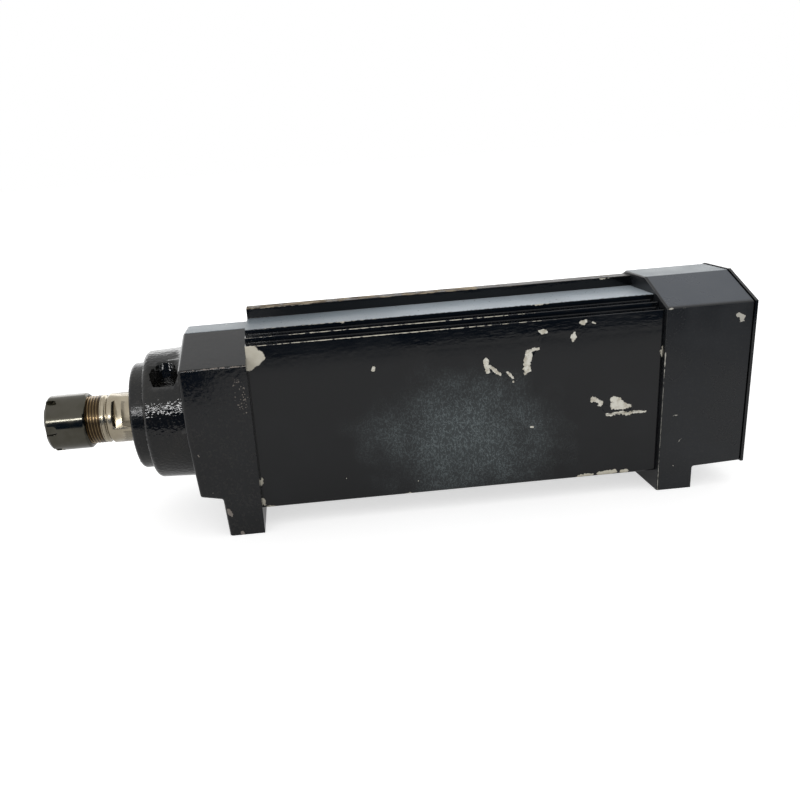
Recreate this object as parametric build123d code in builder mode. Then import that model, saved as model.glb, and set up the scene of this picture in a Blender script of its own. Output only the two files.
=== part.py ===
from build123d import *
from math import cos, radians, sin, tan
import os

# Foot-mounted high-frequency motor spindle with a collet nose.
# Frame: X runs along the spindle with the nose at -X, Y across it, Z up.
# The origin is the middle of the four foot holes, on the plane of the feet.
# Millimetres throughout.

# --- driving dimensions: motor body ------------------------------------------------
AXIS_HEIGHT = 54.0
BODY_LENGTH = 202.0
BODY_WIDTH = 72.0
BODY_BOTTOM = 10.0
BODY_EDGE_R = 1.5
SIDE_TOP = 93.6
STEP_RUN = 6.4
STEP_RISE = 2.7
STEP_EDGE_R = 0.4
NEAR_STEPS = 2
FAR_STEPS = 4
RIB_NEAR = 4.6
RIB_FAR = 13.0
RIB_TOP = 104.4
STATOR_R = 32.0
LEAD_DUCT = (14.0, 5.0)
LEAD_DUCT_Y = -9.0

# --- driving dimensions: tie bolts -------------------------------------------------
TIE_Y = 27.0
TIE_LOW_Z = 24.0
TIE_HIGH_Z = 82.0
TIE_R = 2.5
TIE_CLEARANCE = 0.3
TIE_HEAD_R = 4.25
TIE_HEAD_LENGTH = 5.0
TIE_KEY = (4.0, 2.5)
TIE_GRIP = 14.0
TIE_HOLE_DEPTH = 16.0

# --- driving dimensions: front housing and foot ------------------------------------
FRONT_LENGTH = 32.2
FRONT_WIDTH = 86.8
FRONT_SHOULDER = 86.4
FRONT_TOP = 97.2
FRONT_FLAT = 17.8
FRONT_UNDERSIDE = 19.6
FRONT_DRAFT_RUN = 2.6
FRONT_NOSE_LIFT = 2.2
FRONT_FOOT_LENGTH = 18.8
FOOT_DRAFT = 1.2
FOOT_RELIEF_WIDTH = 24.0
FOOT_RELIEF_DEPTH = 2.5
FOOT_HOLE_SPACING = (220.0, 54.0)
FOOT_HOLE_R = 2.55
FOOT_HOLE_DEPTH = 14.0
CAST_EDGE_R = 1.2
FRONT_RIM_R = 2.0
SPIGOT_LENGTH = 3.0
SPIGOT_R = STATOR_R - 0.1
SPIGOT_WALL = 4.0

# --- driving dimensions: rear housing and foot -------------------------------------
REAR_LENGTH = 42.2
REAR_WIDTH = 77.2
REAR_SHOULDER = 94.4
REAR_TOP = 106.0
REAR_FLAT = 24.0
REAR_UNDERSIDE = 11.8
REAR_LIFT = 1.0
REAR_FOOT_LENGTH = 17.7
REAR_RIM_R = 0.8
WALL = 5.0
CHAMBER_SETBACK = 11.0
PILLAR_R = 4.2
BEARING_WALL = (8.0, 6.0, 5.0)

# --- driving dimensions: boss, bearing cap and port --------------------------------
BOSS_LENGTH = 21.6
BOSS_R = (33.2, 34.1)
BOSS_EDGE_R = 3.0
BOSS_ROOT = 4.0
CAP_THICKNESS = 7.5
CAP_R = 27.6
CAP_EDGE_R = 2.0
CAP_LIP = 2.0
CAP_REGISTER_GAP = 0.1
CAP_SCREW_PITCH_R = 24.2
CAP_SCREW_R = 1.5
CAP_SCREW_GRIP = 11.0
CAP_TAPPED_DEPTH = 9.0
CAP_HEAD_R = 2.75
CAP_HEAD_LENGTH = 3.2
CAP_HEAD_SINK = 0.3
CAP_KEY = (2.5, 1.6)
SCREW_CLEARANCE = 0.1
PORT_SETBACK = 11.8
PORT_Y = -21.5
PORT_FLOOR = 75.2
PORT_RECESS_R = 6.8
PORT_R = 2.5
PORT_DEPTH = 7.0
PLUG_KEY = (2.5, 2.0)

# --- driving dimensions: spindle nose ----------------------------------------------
LABYRINTH_R = 18.0
LABYRINTH_GAP = 0.4
FLANGE_SETBACK = 2.6
FLANGE_GAP = 0.8
SHAFT_NOSE_R = 13.0
NOSE_LENGTH = 16.0
THREAD_R = 12.5
THREAD_LENGTH = 14.3
THREAD_LEAD_IN = 1.0
THREAD_RELIEF = 2.4
THREAD_COLLAR = 1.6
RELIEF_DEPTH = 0.6
UNDERCUT_R = 11.4
UNDERCUT_LENGTH = 0.6
NOSE_CONE = 2.2
SHAFT_OVERHANG = 2.6
SPANNER_FLATS = 21.2
SPANNER_WIDTH = 3.6
SPANNER_SETBACK = 10.7
SPANNER_ANGLE = 27.0
DRAWBAR_R_STEP = 0.8
DRILL_LENGTH = (18.0, 22.0)

# --- driving dimensions: collet and nut --------------------------------------------
NUT_LENGTH = 20.7
NUT_OVERLAP = 9.4
NUT_R = 14.5
NUT_FACE_R = 13.3
NUT_FRONT_CHAMFER = 1.3
NUT_REAR_CHAMFER = (1.2, 1.0)
NUT_CLEARANCE = 0.06
NUT_LEAD_IN = 0.4
NUT_SLOTS = 6
NUT_SLOT = (6.2, 5.0, 1.9)
NUT_TRAVEL = 6.0
COLLET_SETBACK = 0.4
COLLET_LENGTH = 31.5
COLLET_R = 10.5
COLLET_BORE_R = 6.0
COLLET_TAPER = 8.0
COLLET_TAPER_START = 7.0
COLLET_CONE_LENGTH = 3.2
COLLET_CONE_ANGLE = 30.0
COLLET_CONE_INSET = 0.15
COLLET_GROOVE = (3.8, 5.8)
COLLET_GROOVE_R = 9.0
COLLET_SLOTS = 6
COLLET_SLOT = (14.7, 0.9)
COLLET_BRIDGE = (5.0, 6.4)
TAPER_GAP = 0.05
CONE_GAP = 0.25
RING_POCKET_R = 11.3
RING_GAP = 0.15
RING_OFFSET = 0.6

# --- driving dimensions: bearings, rotor and stator --------------------------------
FRONT_BEARING = {"bore": 12.5, "outer": 21.0, "width": 9.0, "ball": 2.4, "balls": 10}
REAR_BEARING = {"bore": 10.0, "outer": 21.0, "width": 12.0, "ball": 3.1, "balls": 8}
BEARING_SETBACK = 1.5
RACE_GAP = 0.04
RACE_SHARE = 0.31
SPACER_WIDTH = 8.0
LOCKNUT_LENGTH = 7.0
LOCKNUT_R = 17.5
LOCKNUT_SLOT = 4.0
LOCKNUT_GAP = 0.7
SHOULDER_THICKNESS = (5.0, 7.0)
SPRING_THICKNESS = 0.8
SPRING_ROOM = 3.0
SPRING_R = (16.4, 20.6)
SHAFT_RELIEF = 0.5
SHAFT_TAIL_LENGTH = 5.0
SHAFT_TAIL_CHAMFER = 1.0
CIRCLIP_WIDTH = 1.2
CIRCLIP_WALL = (0.8, 2.4)
CIRCLIP_GAP = 5.0
STACK_LENGTH = 110.0
STATOR_BORE_R = 17.3
STATOR_SLOTS = 18
STATOR_SLOT = (3.6, 1.4)
STATOR_SLOT_R = (18.7, 27.0)
WINDING_GAP = 0.2
ROTOR_R = 16.9
ROTOR_SEAT_R = 11.0
END_RING = (11.5, 16.3, 6.0)
END_TURN_LENGTH = 23.0
END_TURN_R = 31.0
END_TURN_EDGE_R = 4.0

# --- driving dimensions: rear closing parts ----------------------------------------
GASKET_THICKNESS = 0.6
GASKET_INSET = 0.8
GASKET_WINDOW = 10.0
GASKET_WINDOW_LOW = 26.0
COVER_THICKNESS = 1.6
COVER_OVERHANG = 0.5
COVER_EDGE_R = 0.4
COVER_SCREW_Y = 33.0
COVER_SCREW_Z = (17.5, 89.5)
COVER_SCREW_R = 1.5
COVER_SCREW_LENGTH = 10.0
COVER_TAPPED_DEPTH = 12.0
COVER_SCREW_GAP = 0.2
COVER_KEY = (2.0, 1.2)

# --- driving dimensions: terminal block and cable entry ----------------------------
BLOCK = (14.0, 34.0, 10.0)
BLOCK_RISE = 9.5
TERMINALS = 4
TERMINAL_PITCH = 8.0
TERMINAL_POCKET = (6.0, 6.5, 5.0)
TERMINAL_SCREW = (2.2, 2.5)
GLAND_SETBACK = 16.0
GLAND_Z = 72.0
GLAND_THREAD_R = 8.0
GLAND_NECK_R = 7.5
GLAND_FLATS = 22.0
GLAND_COLLAR = 5.0
GLAND_NECK = 6.0
GLAND_BORE_R = 5.4
GLAND_HOLE_DEPTH = 8.0
CABLE_R = 4.0
NUT_FLATS = 20.0
NUT_GAP = 0.5
NUT_BARREL = 8.0
NUT_DOME = (2.0, 4.0)
NUT_DOME_R = (9.6, 8.8, 6.6)
NUT_MOUTH_R = (5.6, 5.0)
SEAL_R = (5.4, 6.8, 5.5)
SEAL_ENDS = (8.3, 10.2)

# --- stations along X --------------------------------------------------------------
BODY_FRONT = -BODY_LENGTH / 2
BODY_REAR = BODY_LENGTH / 2
FRONT_FACE = BODY_FRONT - FRONT_LENGTH
BOSS_FACE = FRONT_FACE - BOSS_LENGTH
CAP_FACE = BOSS_FACE - CAP_THICKNESS
REAR_FACE = BODY_REAR + REAR_LENGTH
COVER_FACE = REAR_FACE + GASKET_THICKNESS
COVER_OUTSIDE = COVER_FACE + COVER_THICKNESS
THREAD_END = CAP_FACE - NOSE_LENGTH
SHAFT_FACE = THREAD_END - THREAD_LENGTH - SHAFT_OVERHANG
NUT_REAR = THREAD_END - NUT_OVERLAP
NUT_FACE = NUT_REAR - NUT_LENGTH
COLLET_FACE = NUT_FACE + COLLET_SETBACK
GROOVE_FRONT = COLLET_FACE + COLLET_GROOVE[0]
GROOVE_REAR = COLLET_FACE + COLLET_GROOVE[1]
BEARING_FRONT = BOSS_FACE + BEARING_SETBACK
SPACER_FRONT = BEARING_FRONT + FRONT_BEARING["width"]
SECOND_BEARING = SPACER_FRONT + SPACER_WIDTH
BEARING_REAR = SECOND_BEARING + FRONT_BEARING["width"]
LOCKNUT_REAR = BEARING_REAR + LOCKNUT_LENGTH
CHAMBER_FRONT = BODY_REAR + CHAMBER_SETBACK
REAR_BEARING_FRONT = CHAMBER_FRONT
REAR_BEARING_REAR = REAR_BEARING_FRONT + REAR_BEARING["width"]
SHAFT_TAIL = REAR_BEARING_REAR + SHAFT_TAIL_LENGTH
STACK_FRONT = -STACK_LENGTH / 2
STACK_REAR = STACK_LENGTH / 2
GLAND_X = CHAMBER_FRONT + GLAND_SETBACK
GLAND_WALL = REAR_WIDTH / 2
GLAND_NUT_FRONT = GLAND_WALL + GLAND_COLLAR + NUT_GAP
GLAND_NUT_SHOULDER = GLAND_NUT_FRONT + NUT_BARREL

# --- radii and heights that follow from the ones above -----------------------------
FRONT_SEAT_R = FRONT_BEARING["outer"]
REAR_SEAT_R = REAR_BEARING["outer"]
FRONT_RACE_WALL = (FRONT_BEARING["outer"] - FRONT_BEARING["bore"]) * RACE_SHARE
SOCKET_MOUTH_R = COLLET_R + TAPER_GAP
SOCKET_END = COLLET_FACE + NUT_TRAVEL + COLLET_LENGTH + 1
SOCKET_END_R = SOCKET_MOUTH_R - (SOCKET_END - SHAFT_FACE) * tan(radians(COLLET_TAPER))
COLLET_HEAD_R = COLLET_R - COLLET_CONE_INSET
COLLET_FACE_R = COLLET_HEAD_R - COLLET_CONE_LENGTH * tan(radians(COLLET_CONE_ANGLE))
COLLET_TAIL_R = COLLET_R - (COLLET_LENGTH - COLLET_TAPER_START) * tan(radians(COLLET_TAPER))
CIRCLIP_SEAT_R = REAR_BEARING["bore"] - CIRCLIP_WALL[0]
CAP_HEAD_SEAT = CAP_FACE + CAP_HEAD_LENGTH + CAP_HEAD_SINK
BLOCK_Z = AXIS_HEIGHT + REAR_SEAT_R + BLOCK_RISE + BLOCK[2] / 2
TERRACE = SIDE_TOP + NEAR_STEPS * STEP_RISE
INSIDE = 1.0

SPINDLE = Axis((0, 0, AXIS_HEIGHT), (1, 0, 0))
HALF = Plane(origin=(0, 0, AXIS_HEIGHT), x_dir=(1, 0, 0), z_dir=(0, -1, 0))
SIDE = Plane(origin=(0, 0, 0), x_dir=(1, 0, 0), z_dir=(0, -1, 0))
GLAND_LINE = Axis((GLAND_X, 0, GLAND_Z), (0, 1, 0))
GLAND_HALF = Plane(origin=(GLAND_X, 0, GLAND_Z), x_dir=(0, 1, 0), z_dir=(1, 0, 0))


def section(x):
    """Plane across the spindle at station x: local x is Y and local y is Z."""
    return Plane(origin=(x, 0, 0), x_dir=(0, 1, 0), z_dir=(1, 0, 0))


def centred(x):
    """Plane across the spindle at station x, centred on the spindle axis."""
    return Plane(origin=(x, 0, AXIS_HEIGHT), x_dir=(0, 1, 0), z_dir=(1, 0, 0))


def across(y):
    """Plane square to the gland at distance y from the mid-plane, facing away from the housing."""
    return Plane(origin=(GLAND_X, y, GLAND_Z), x_dir=(1, 0, 0), z_dir=(0, 1, 0))


def stair(side, count):
    """Corners of the stepped shoulder on one side (-1 near, +1 far), from the flat side inwards."""
    corners = []
    for step in range(count):
        y = side * (BODY_WIDTH / 2 - step * STEP_RUN)
        z = SIDE_TOP + step * STEP_RISE
        corners += [(y, z), (y - side * STEP_RUN, z)]
    return corners


def block_outline(width, bottom, shoulder, flat, top):
    """Section of a housing: flat sides, a wide chamfer on each shoulder and a flat top."""
    return [
        (-width / 2, bottom),
        (width / 2, bottom),
        (width / 2, shoulder),
        (flat / 2, top),
        (-flat / 2, top),
        (-width / 2, shoulder),
    ]


def tie_points():
    """The four tie bolts in the section plane."""
    return [(side * TIE_Y, z) for side in (-1, 1) for z in (TIE_LOW_Z, TIE_HIGH_Z)]


def cover_screw_points():
    """The four cover screws in the section plane."""
    return [(side * COVER_SCREW_Y, z) for side in (-1, 1) for z in COVER_SCREW_Z]


def foot_hole_points(end):
    """The two holes of one foot (-1 front, +1 rear) in the plane of the feet."""
    return [(end * FOOT_HOLE_SPACING[0] / 2, side * FOOT_HOLE_SPACING[1] / 2) for side in (-1, 1)]


def outline_edges(part, low, high, half_width):
    """Edges of a housing's two flat sides between two stations, above the foot."""
    return part.edges().filter_by(
        lambda e: low < e.center().X < high
        and abs(abs(e.center().Y) - half_width) < 0.01
        and e.center().Z > FRONT_UNDERSIDE
    )


def face_edges(part, x):
    """Edges that lie in the plane across the spindle at station x."""
    return part.edges().filter_by(lambda e: all(abs(v.X - x) < 0.01 for v in e.vertices()))


os.makedirs("parts", exist_ok=True)

# --- motor body: extruded section with the stator bore -----------------------------
with BuildPart() as motor_body:
    with BuildSketch(section(BODY_FRONT)) as body_section:
        near = stair(-1, NEAR_STEPS)
        far = stair(1, FAR_STEPS)
        far[-1] = (RIB_FAR, far[-1][1])
        with BuildLine():
            Polyline(
                (-BODY_WIDTH / 2, BODY_BOTTOM),
                *near,
                (near[-1][0], TERRACE),
                (RIB_NEAR, TERRACE),
                (RIB_NEAR, RIB_TOP),
                (RIB_FAR, RIB_TOP),
                *reversed(far),
                (BODY_WIDTH / 2, BODY_BOTTOM),
                close=True,
            )
        make_face()
        fillet(body_section.vertices().group_by(Axis.Y)[0], BODY_EDGE_R)
        fillet(body_section.vertices().filter_by(lambda v: v.Y > SIDE_TOP - INSIDE), STEP_EDGE_R)
        with Locations((0, AXIS_HEIGHT)):
            Circle(STATOR_R, mode=Mode.SUBTRACT)
        with Locations(*tie_points()):
            Circle(TIE_R + TIE_CLEARANCE, mode=Mode.SUBTRACT)
        with Locations((LEAD_DUCT_Y, (AXIS_HEIGHT + STATOR_R + TERRACE) / 2)):
            SlotOverall(*LEAD_DUCT, mode=Mode.SUBTRACT)
    extrude(amount=BODY_LENGTH)

motor_body.part.label = "motor_body"
export_step(motor_body.part, "parts/motor_body.step")

# --- front housing: cast block, tapered boss and foot in one piece -----------------
with BuildPart() as front_housing:
    with BuildSketch(section(FRONT_FACE)) as front_section:
        with BuildLine():
            Polyline(*block_outline(FRONT_WIDTH, 0, FRONT_SHOULDER, FRONT_FLAT, FRONT_TOP), close=True)
        make_face()
        fillet(front_section.vertices().filter_by(lambda v: v.Y > INSIDE), CAST_EDGE_R)
    extrude(amount=FRONT_LENGTH)
    with BuildSketch(SIDE) as front_side:
        with BuildLine():
            Polyline(
                (FRONT_FACE, FRONT_TOP + INSIDE),
                (FRONT_FACE, AXIS_HEIGHT),
                (FRONT_FACE + FRONT_DRAFT_RUN, FRONT_UNDERSIDE + FRONT_NOSE_LIFT),
                (BODY_FRONT - FRONT_FOOT_LENGTH, FRONT_UNDERSIDE),
                (BODY_FRONT - FRONT_FOOT_LENGTH + FOOT_DRAFT, 0),
                (BODY_FRONT, 0),
                (BODY_FRONT, FRONT_TOP + INSIDE),
                close=True,
            )
        make_face()
        underside = front_side.vertices().filter_by(lambda v: INSIDE < v.Y < AXIS_HEIGHT - INSIDE)
        fillet(underside, CAST_EDGE_R)
    extrude(amount=FRONT_WIDTH, both=True, mode=Mode.INTERSECT)
    rim_end = BODY_FRONT - FRONT_FOOT_LENGTH
    fillet(
        outline_edges(front_housing, FRONT_FACE - 1, rim_end, FRONT_WIDTH / 2)
        .filter_by(lambda e: abs(e.center().Z - FRONT_SHOULDER) > CAST_EDGE_R)
        + face_edges(front_housing, FRONT_FACE).filter_by(lambda e: e.center().Z > AXIS_HEIGHT + 1),
        FRONT_RIM_R,
    )
    with BuildSketch(SIDE):
        with Locations((BODY_FRONT - FRONT_FOOT_LENGTH / 2, 0)):
            Rectangle(2 * FRONT_FOOT_LENGTH, 2 * FOOT_RELIEF_DEPTH)
    extrude(amount=FOOT_RELIEF_WIDTH / 2, both=True, mode=Mode.SUBTRACT)
    # the boss, one profile turned about the spindle axis
    with BuildSketch(HALF) as boss_profile:
        with BuildLine():
            Polyline(
                (BOSS_FACE, 0),
                (BOSS_FACE, BOSS_R[0]),
                (FRONT_FACE, BOSS_R[1]),
                (FRONT_FACE + BOSS_ROOT, BOSS_R[1]),
                (FRONT_FACE + BOSS_ROOT, 0),
                close=True,
            )
        make_face()
        fillet(boss_profile.vertices().sort_by_distance((BOSS_FACE, BOSS_R[0]))[0], BOSS_EDGE_R)
    revolve(axis=SPINDLE)
    with BuildSketch(HALF):
        with Locations((BODY_FRONT + SPIGOT_LENGTH / 2, SPIGOT_R - SPIGOT_WALL / 2)):
            Rectangle(SPIGOT_LENGTH, SPIGOT_WALL)
    revolve(axis=SPINDLE)
    # bearing seat, shoulder and the room for the end turns
    with BuildSketch(HALF):
        with BuildLine():
            Polyline(
                (BOSS_FACE, 0),
                (BOSS_FACE, FRONT_SEAT_R),
                (BEARING_REAR, FRONT_SEAT_R),
                (BEARING_REAR, LOCKNUT_R + LOCKNUT_GAP),
                (BEARING_REAR + SHOULDER_THICKNESS[0], LOCKNUT_R + LOCKNUT_GAP),
                (BEARING_REAR + SHOULDER_THICKNESS[1], SPIGOT_R - SPIGOT_WALL),
                (BODY_FRONT + SPIGOT_LENGTH, SPIGOT_R - SPIGOT_WALL),
                (BODY_FRONT + SPIGOT_LENGTH, 0),
                close=True,
            )
        make_face()
    revolve(axis=SPINDLE, mode=Mode.SUBTRACT)
    # a spot face sunk straight down into the near shoulder of the boss, and the tapped hole in its floor
    with BuildSketch(Plane.XY.offset(PORT_FLOOR)):
        with Locations((BOSS_FACE + PORT_SETBACK, PORT_Y)):
            Circle(PORT_RECESS_R)
    extrude(amount=BOSS_R[1], mode=Mode.SUBTRACT)
    with BuildSketch(Plane.XY.offset(PORT_FLOOR)):
        with Locations((BOSS_FACE + PORT_SETBACK, PORT_Y)):
            Circle(PORT_R)
    extrude(amount=-PORT_DEPTH, mode=Mode.SUBTRACT)
    # tapped holes for the tie bolts and for the bearing cap, and the foot holes
    with BuildSketch(section(BODY_FRONT)):
        with Locations(*tie_points()):
            Circle(TIE_R)
    extrude(amount=-TIE_HOLE_DEPTH, mode=Mode.SUBTRACT)
    with BuildSketch(centred(BOSS_FACE)):
        with PolarLocations(CAP_SCREW_PITCH_R, 4, start_angle=45):
            Circle(CAP_SCREW_R)
    extrude(amount=CAP_TAPPED_DEPTH, mode=Mode.SUBTRACT)
    with BuildSketch(Plane.XY):
        with Locations(*foot_hole_points(-1)):
            Circle(FOOT_HOLE_R)
    extrude(amount=FOOT_HOLE_DEPTH, mode=Mode.SUBTRACT)

front_housing.part.label = "front_housing"
export_step(front_housing.part, "parts/front_housing.step")

# --- rear housing: cast block with foot, bearing web and terminal chamber ----------
with BuildPart() as rear_housing:
    with BuildSketch(section(BODY_REAR)) as rear_section:
        with BuildLine():
            Polyline(*block_outline(REAR_WIDTH, 0, REAR_SHOULDER, REAR_FLAT, REAR_TOP), close=True)
        make_face()
        fillet(rear_section.vertices().filter_by(lambda v: v.Y > INSIDE), CAST_EDGE_R)
    extrude(amount=REAR_LENGTH)
    with BuildSketch(SIDE) as rear_side:
        with BuildLine():
            Polyline(
                (BODY_REAR, REAR_TOP + INSIDE),
                (BODY_REAR, 0),
                (BODY_REAR + REAR_FOOT_LENGTH, 0),
                (BODY_REAR + REAR_FOOT_LENGTH, REAR_UNDERSIDE),
                (REAR_FACE, REAR_UNDERSIDE + REAR_LIFT),
                (REAR_FACE, REAR_TOP + INSIDE),
                close=True,
            )
        make_face()
        fillet(rear_side.vertices().filter_by(lambda v: abs(v.Y - REAR_UNDERSIDE) < 0.01), CAST_EDGE_R)
    extrude(amount=REAR_WIDTH, both=True, mode=Mode.INTERSECT)
    fillet(face_edges(rear_housing, BODY_REAR).filter_by(lambda e: e.center().Z > INSIDE), REAR_RIM_R)
    with BuildSketch(SIDE):
        with Locations((BODY_REAR + REAR_FOOT_LENGTH / 2, 0)):
            Rectangle(2 * REAR_FOOT_LENGTH, 2 * FOOT_RELIEF_DEPTH)
    extrude(amount=FOOT_RELIEF_WIDTH / 2, both=True, mode=Mode.SUBTRACT)
    # terminal chamber, open at the back, with the bearing boss and the screw pillars left in it
    with BuildSketch(section(REAR_FACE)):
        with BuildLine():
            Polyline(
                *block_outline(
                    REAR_WIDTH - 2 * WALL,
                    REAR_UNDERSIDE + REAR_LIFT + WALL,
                    REAR_SHOULDER - WALL / 2,
                    REAR_FLAT - WALL,
                    REAR_TOP - WALL,
                ),
                close=True,
            )
        make_face()
        with Locations(*cover_screw_points()):
            Circle(PILLAR_R, mode=Mode.SUBTRACT)
    extrude(amount=-(REAR_FACE - CHAMBER_FRONT), mode=Mode.SUBTRACT)
    with BuildSketch(HALF):
        with BuildLine():
            Polyline(
                (CHAMBER_FRONT - INSIDE, 0),
                (CHAMBER_FRONT - INSIDE, REAR_SEAT_R + BEARING_WALL[0]),
                (CHAMBER_FRONT + SPRING_ROOM, REAR_SEAT_R + BEARING_WALL[1]),
                (REAR_BEARING_REAR + SPRING_ROOM, REAR_SEAT_R + BEARING_WALL[2]),
                (REAR_BEARING_REAR + SPRING_ROOM, 0),
                close=True,
            )
        make_face()
    revolve(axis=SPINDLE)
    with BuildSketch(HALF):
        with Locations((BODY_REAR - SPIGOT_LENGTH / 2, SPIGOT_R - SPIGOT_WALL / 2)):
            Rectangle(SPIGOT_LENGTH, SPIGOT_WALL)
    revolve(axis=SPINDLE)
    # room for the end turns, shaft hole, spring seat and bearing seat
    with BuildSketch(HALF):
        with BuildLine():
            Polyline(
                (BODY_REAR - SPIGOT_LENGTH, 0),
                (BODY_REAR - SPIGOT_LENGTH, SPIGOT_R - SPIGOT_WALL),
                (BODY_REAR + SPIGOT_LENGTH, SPIGOT_R - SPIGOT_WALL),
                (BODY_REAR + SHOULDER_THICKNESS[0], SPRING_R[0]),
                (REAR_BEARING_FRONT - SPRING_ROOM, SPRING_R[0]),
                (REAR_BEARING_FRONT - SPRING_ROOM, REAR_SEAT_R),
                (REAR_BEARING_REAR + SPRING_ROOM, REAR_SEAT_R),
                (REAR_BEARING_REAR + SPRING_ROOM, 0),
                close=True,
            )
        make_face()
    revolve(axis=SPINDLE, mode=Mode.SUBTRACT)
    # clearance holes for the tie bolts, tapped holes for the cover, gland hole and foot holes
    with BuildSketch(section(BODY_REAR)):
        with Locations(*tie_points()):
            Circle(TIE_R + TIE_CLEARANCE)
    extrude(amount=REAR_LENGTH, mode=Mode.SUBTRACT)
    with BuildSketch(section(REAR_FACE)):
        with Locations(*cover_screw_points()):
            Circle(COVER_SCREW_R)
    extrude(amount=-COVER_TAPPED_DEPTH, mode=Mode.SUBTRACT)
    with BuildSketch(across(GLAND_WALL)):
        Circle(GLAND_THREAD_R)
    extrude(amount=-GLAND_HOLE_DEPTH, mode=Mode.SUBTRACT)
    with BuildSketch(Plane.XY):
        with Locations(*foot_hole_points(1)):
            Circle(FOOT_HOLE_R)
    extrude(amount=FOOT_HOLE_DEPTH, mode=Mode.SUBTRACT)

rear_housing.part.label = "rear_housing"
export_step(rear_housing.part, "parts/rear_housing.step")

# --- rear gasket and cover plate ---------------------------------------------------
cover_outline = block_outline(
    REAR_WIDTH, REAR_UNDERSIDE + REAR_LIFT, REAR_SHOULDER, REAR_FLAT, REAR_TOP
)
with BuildPart() as rear_gasket:
    with BuildSketch(section(REAR_FACE)):
        with BuildLine():
            Polyline(*cover_outline, close=True)
        make_face()
        offset(amount=-GASKET_INSET, kind=Kind.INTERSECTION)
        with BuildLine():
            Polyline(
                *block_outline(
                    REAR_WIDTH - 2 * GASKET_WINDOW,
                    GASKET_WINDOW_LOW,
                    REAR_SHOULDER - GASKET_WINDOW,
                    REAR_FLAT,
                    REAR_TOP - GASKET_WINDOW,
                ),
                close=True,
            )
        make_face(mode=Mode.SUBTRACT)
        with Locations(*cover_screw_points()):
            Circle(COVER_SCREW_R + COVER_SCREW_GAP, mode=Mode.SUBTRACT)
    extrude(amount=GASKET_THICKNESS)

rear_gasket.part.label = "rear_gasket"
export_step(rear_gasket.part, "parts/rear_gasket.step")

with BuildPart() as rear_cover:
    with BuildSketch(section(COVER_FACE)):
        with BuildLine():
            Polyline(*cover_outline, close=True)
        make_face()
        offset(amount=COVER_OVERHANG, kind=Kind.INTERSECTION)
    extrude(amount=COVER_THICKNESS)
    fillet(face_edges(rear_cover, COVER_OUTSIDE), COVER_EDGE_R)
    with Locations(section(COVER_OUTSIDE)):
        with Locations(*cover_screw_points()):
            CounterSinkHole(
                COVER_SCREW_R + COVER_SCREW_GAP, 2 * COVER_SCREW_R + SCREW_CLEARANCE, depth=COVER_THICKNESS
            )

rear_cover.part.label = "rear_cover"
export_step(rear_cover.part, "parts/rear_cover.step")

with BuildPart() as rear_cover_screws:
    for y, z in cover_screw_points():
        with BuildSketch(Plane(origin=(0, y, z), x_dir=(1, 0, 0), z_dir=(0, -1, 0))):
            with BuildLine():
                Polyline(
                    (COVER_OUTSIDE, 0),
                    (COVER_OUTSIDE, 2 * COVER_SCREW_R),
                    (COVER_OUTSIDE - COVER_SCREW_R, COVER_SCREW_R),
                    (COVER_OUTSIDE - COVER_SCREW_LENGTH, COVER_SCREW_R),
                    (COVER_OUTSIDE - COVER_SCREW_LENGTH, 0),
                    close=True,
                )
            make_face()
        revolve(axis=Axis((0, y, z), (1, 0, 0)))
    with BuildSketch(section(COVER_OUTSIDE)):
        with Locations(*cover_screw_points()):
            RegularPolygon(COVER_KEY[0] / 2, 6, major_radius=False)
    extrude(amount=-COVER_KEY[1], mode=Mode.SUBTRACT)

rear_cover_screws.part.label = "rear_cover_screws"
export_step(rear_cover_screws.part, "parts/rear_cover_screws.step")

# --- tie bolts through the body ----------------------------------------------------
with BuildPart() as tie_bolts:
    with BuildSketch(section(BODY_FRONT - TIE_GRIP)):
        with Locations(*tie_points()):
            Circle(TIE_R)
    extrude(amount=CHAMBER_FRONT - BODY_FRONT + TIE_GRIP)
    with BuildSketch(section(CHAMBER_FRONT)):
        with Locations(*tie_points()):
            Circle(TIE_HEAD_R)
    extrude(amount=TIE_HEAD_LENGTH)
    with BuildSketch(section(CHAMBER_FRONT + TIE_HEAD_LENGTH)):
        with Locations(*tie_points()):
            RegularPolygon(TIE_KEY[0] / 2, 6, major_radius=False)
    extrude(amount=-TIE_KEY[1], mode=Mode.SUBTRACT)

tie_bolts.part.label = "tie_bolts"
export_step(tie_bolts.part, "parts/tie_bolts.step")

# --- front bearing cap, its screws and the port plug -------------------------------
with BuildPart() as front_bearing_cap:
    with BuildSketch(HALF) as cap_profile:
        with BuildLine():
            Polyline(
                (CAP_FACE, SHAFT_NOSE_R + LABYRINTH_GAP),
                (CAP_FACE, CAP_R),
                (BOSS_FACE, CAP_R),
                (BOSS_FACE, FRONT_SEAT_R - CAP_REGISTER_GAP),
                (BEARING_FRONT, FRONT_SEAT_R - CAP_REGISTER_GAP),
                (BEARING_FRONT, LABYRINTH_R + LABYRINTH_GAP),
                (CAP_FACE + CAP_LIP, LABYRINTH_R + LABYRINTH_GAP),
                (CAP_FACE + CAP_LIP, SHAFT_NOSE_R + LABYRINTH_GAP),
                close=True,
            )
        make_face()
        fillet(cap_profile.vertices().sort_by_distance((CAP_FACE, CAP_R))[0], CAP_EDGE_R)
    revolve(axis=SPINDLE)
    with Locations(centred(CAP_FACE)):
        with PolarLocations(CAP_SCREW_PITCH_R, 4, start_angle=45):
            Cylinder(CAP_SCREW_R + SCREW_CLEARANCE, 4 * CAP_THICKNESS, mode=Mode.SUBTRACT)
            Cylinder(CAP_HEAD_R + SCREW_CLEARANCE, 2 * (CAP_HEAD_SEAT - CAP_FACE), mode=Mode.SUBTRACT)

front_bearing_cap.part.label = "front_bearing_cap"
export_step(front_bearing_cap.part, "parts/front_bearing_cap.step")

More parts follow.
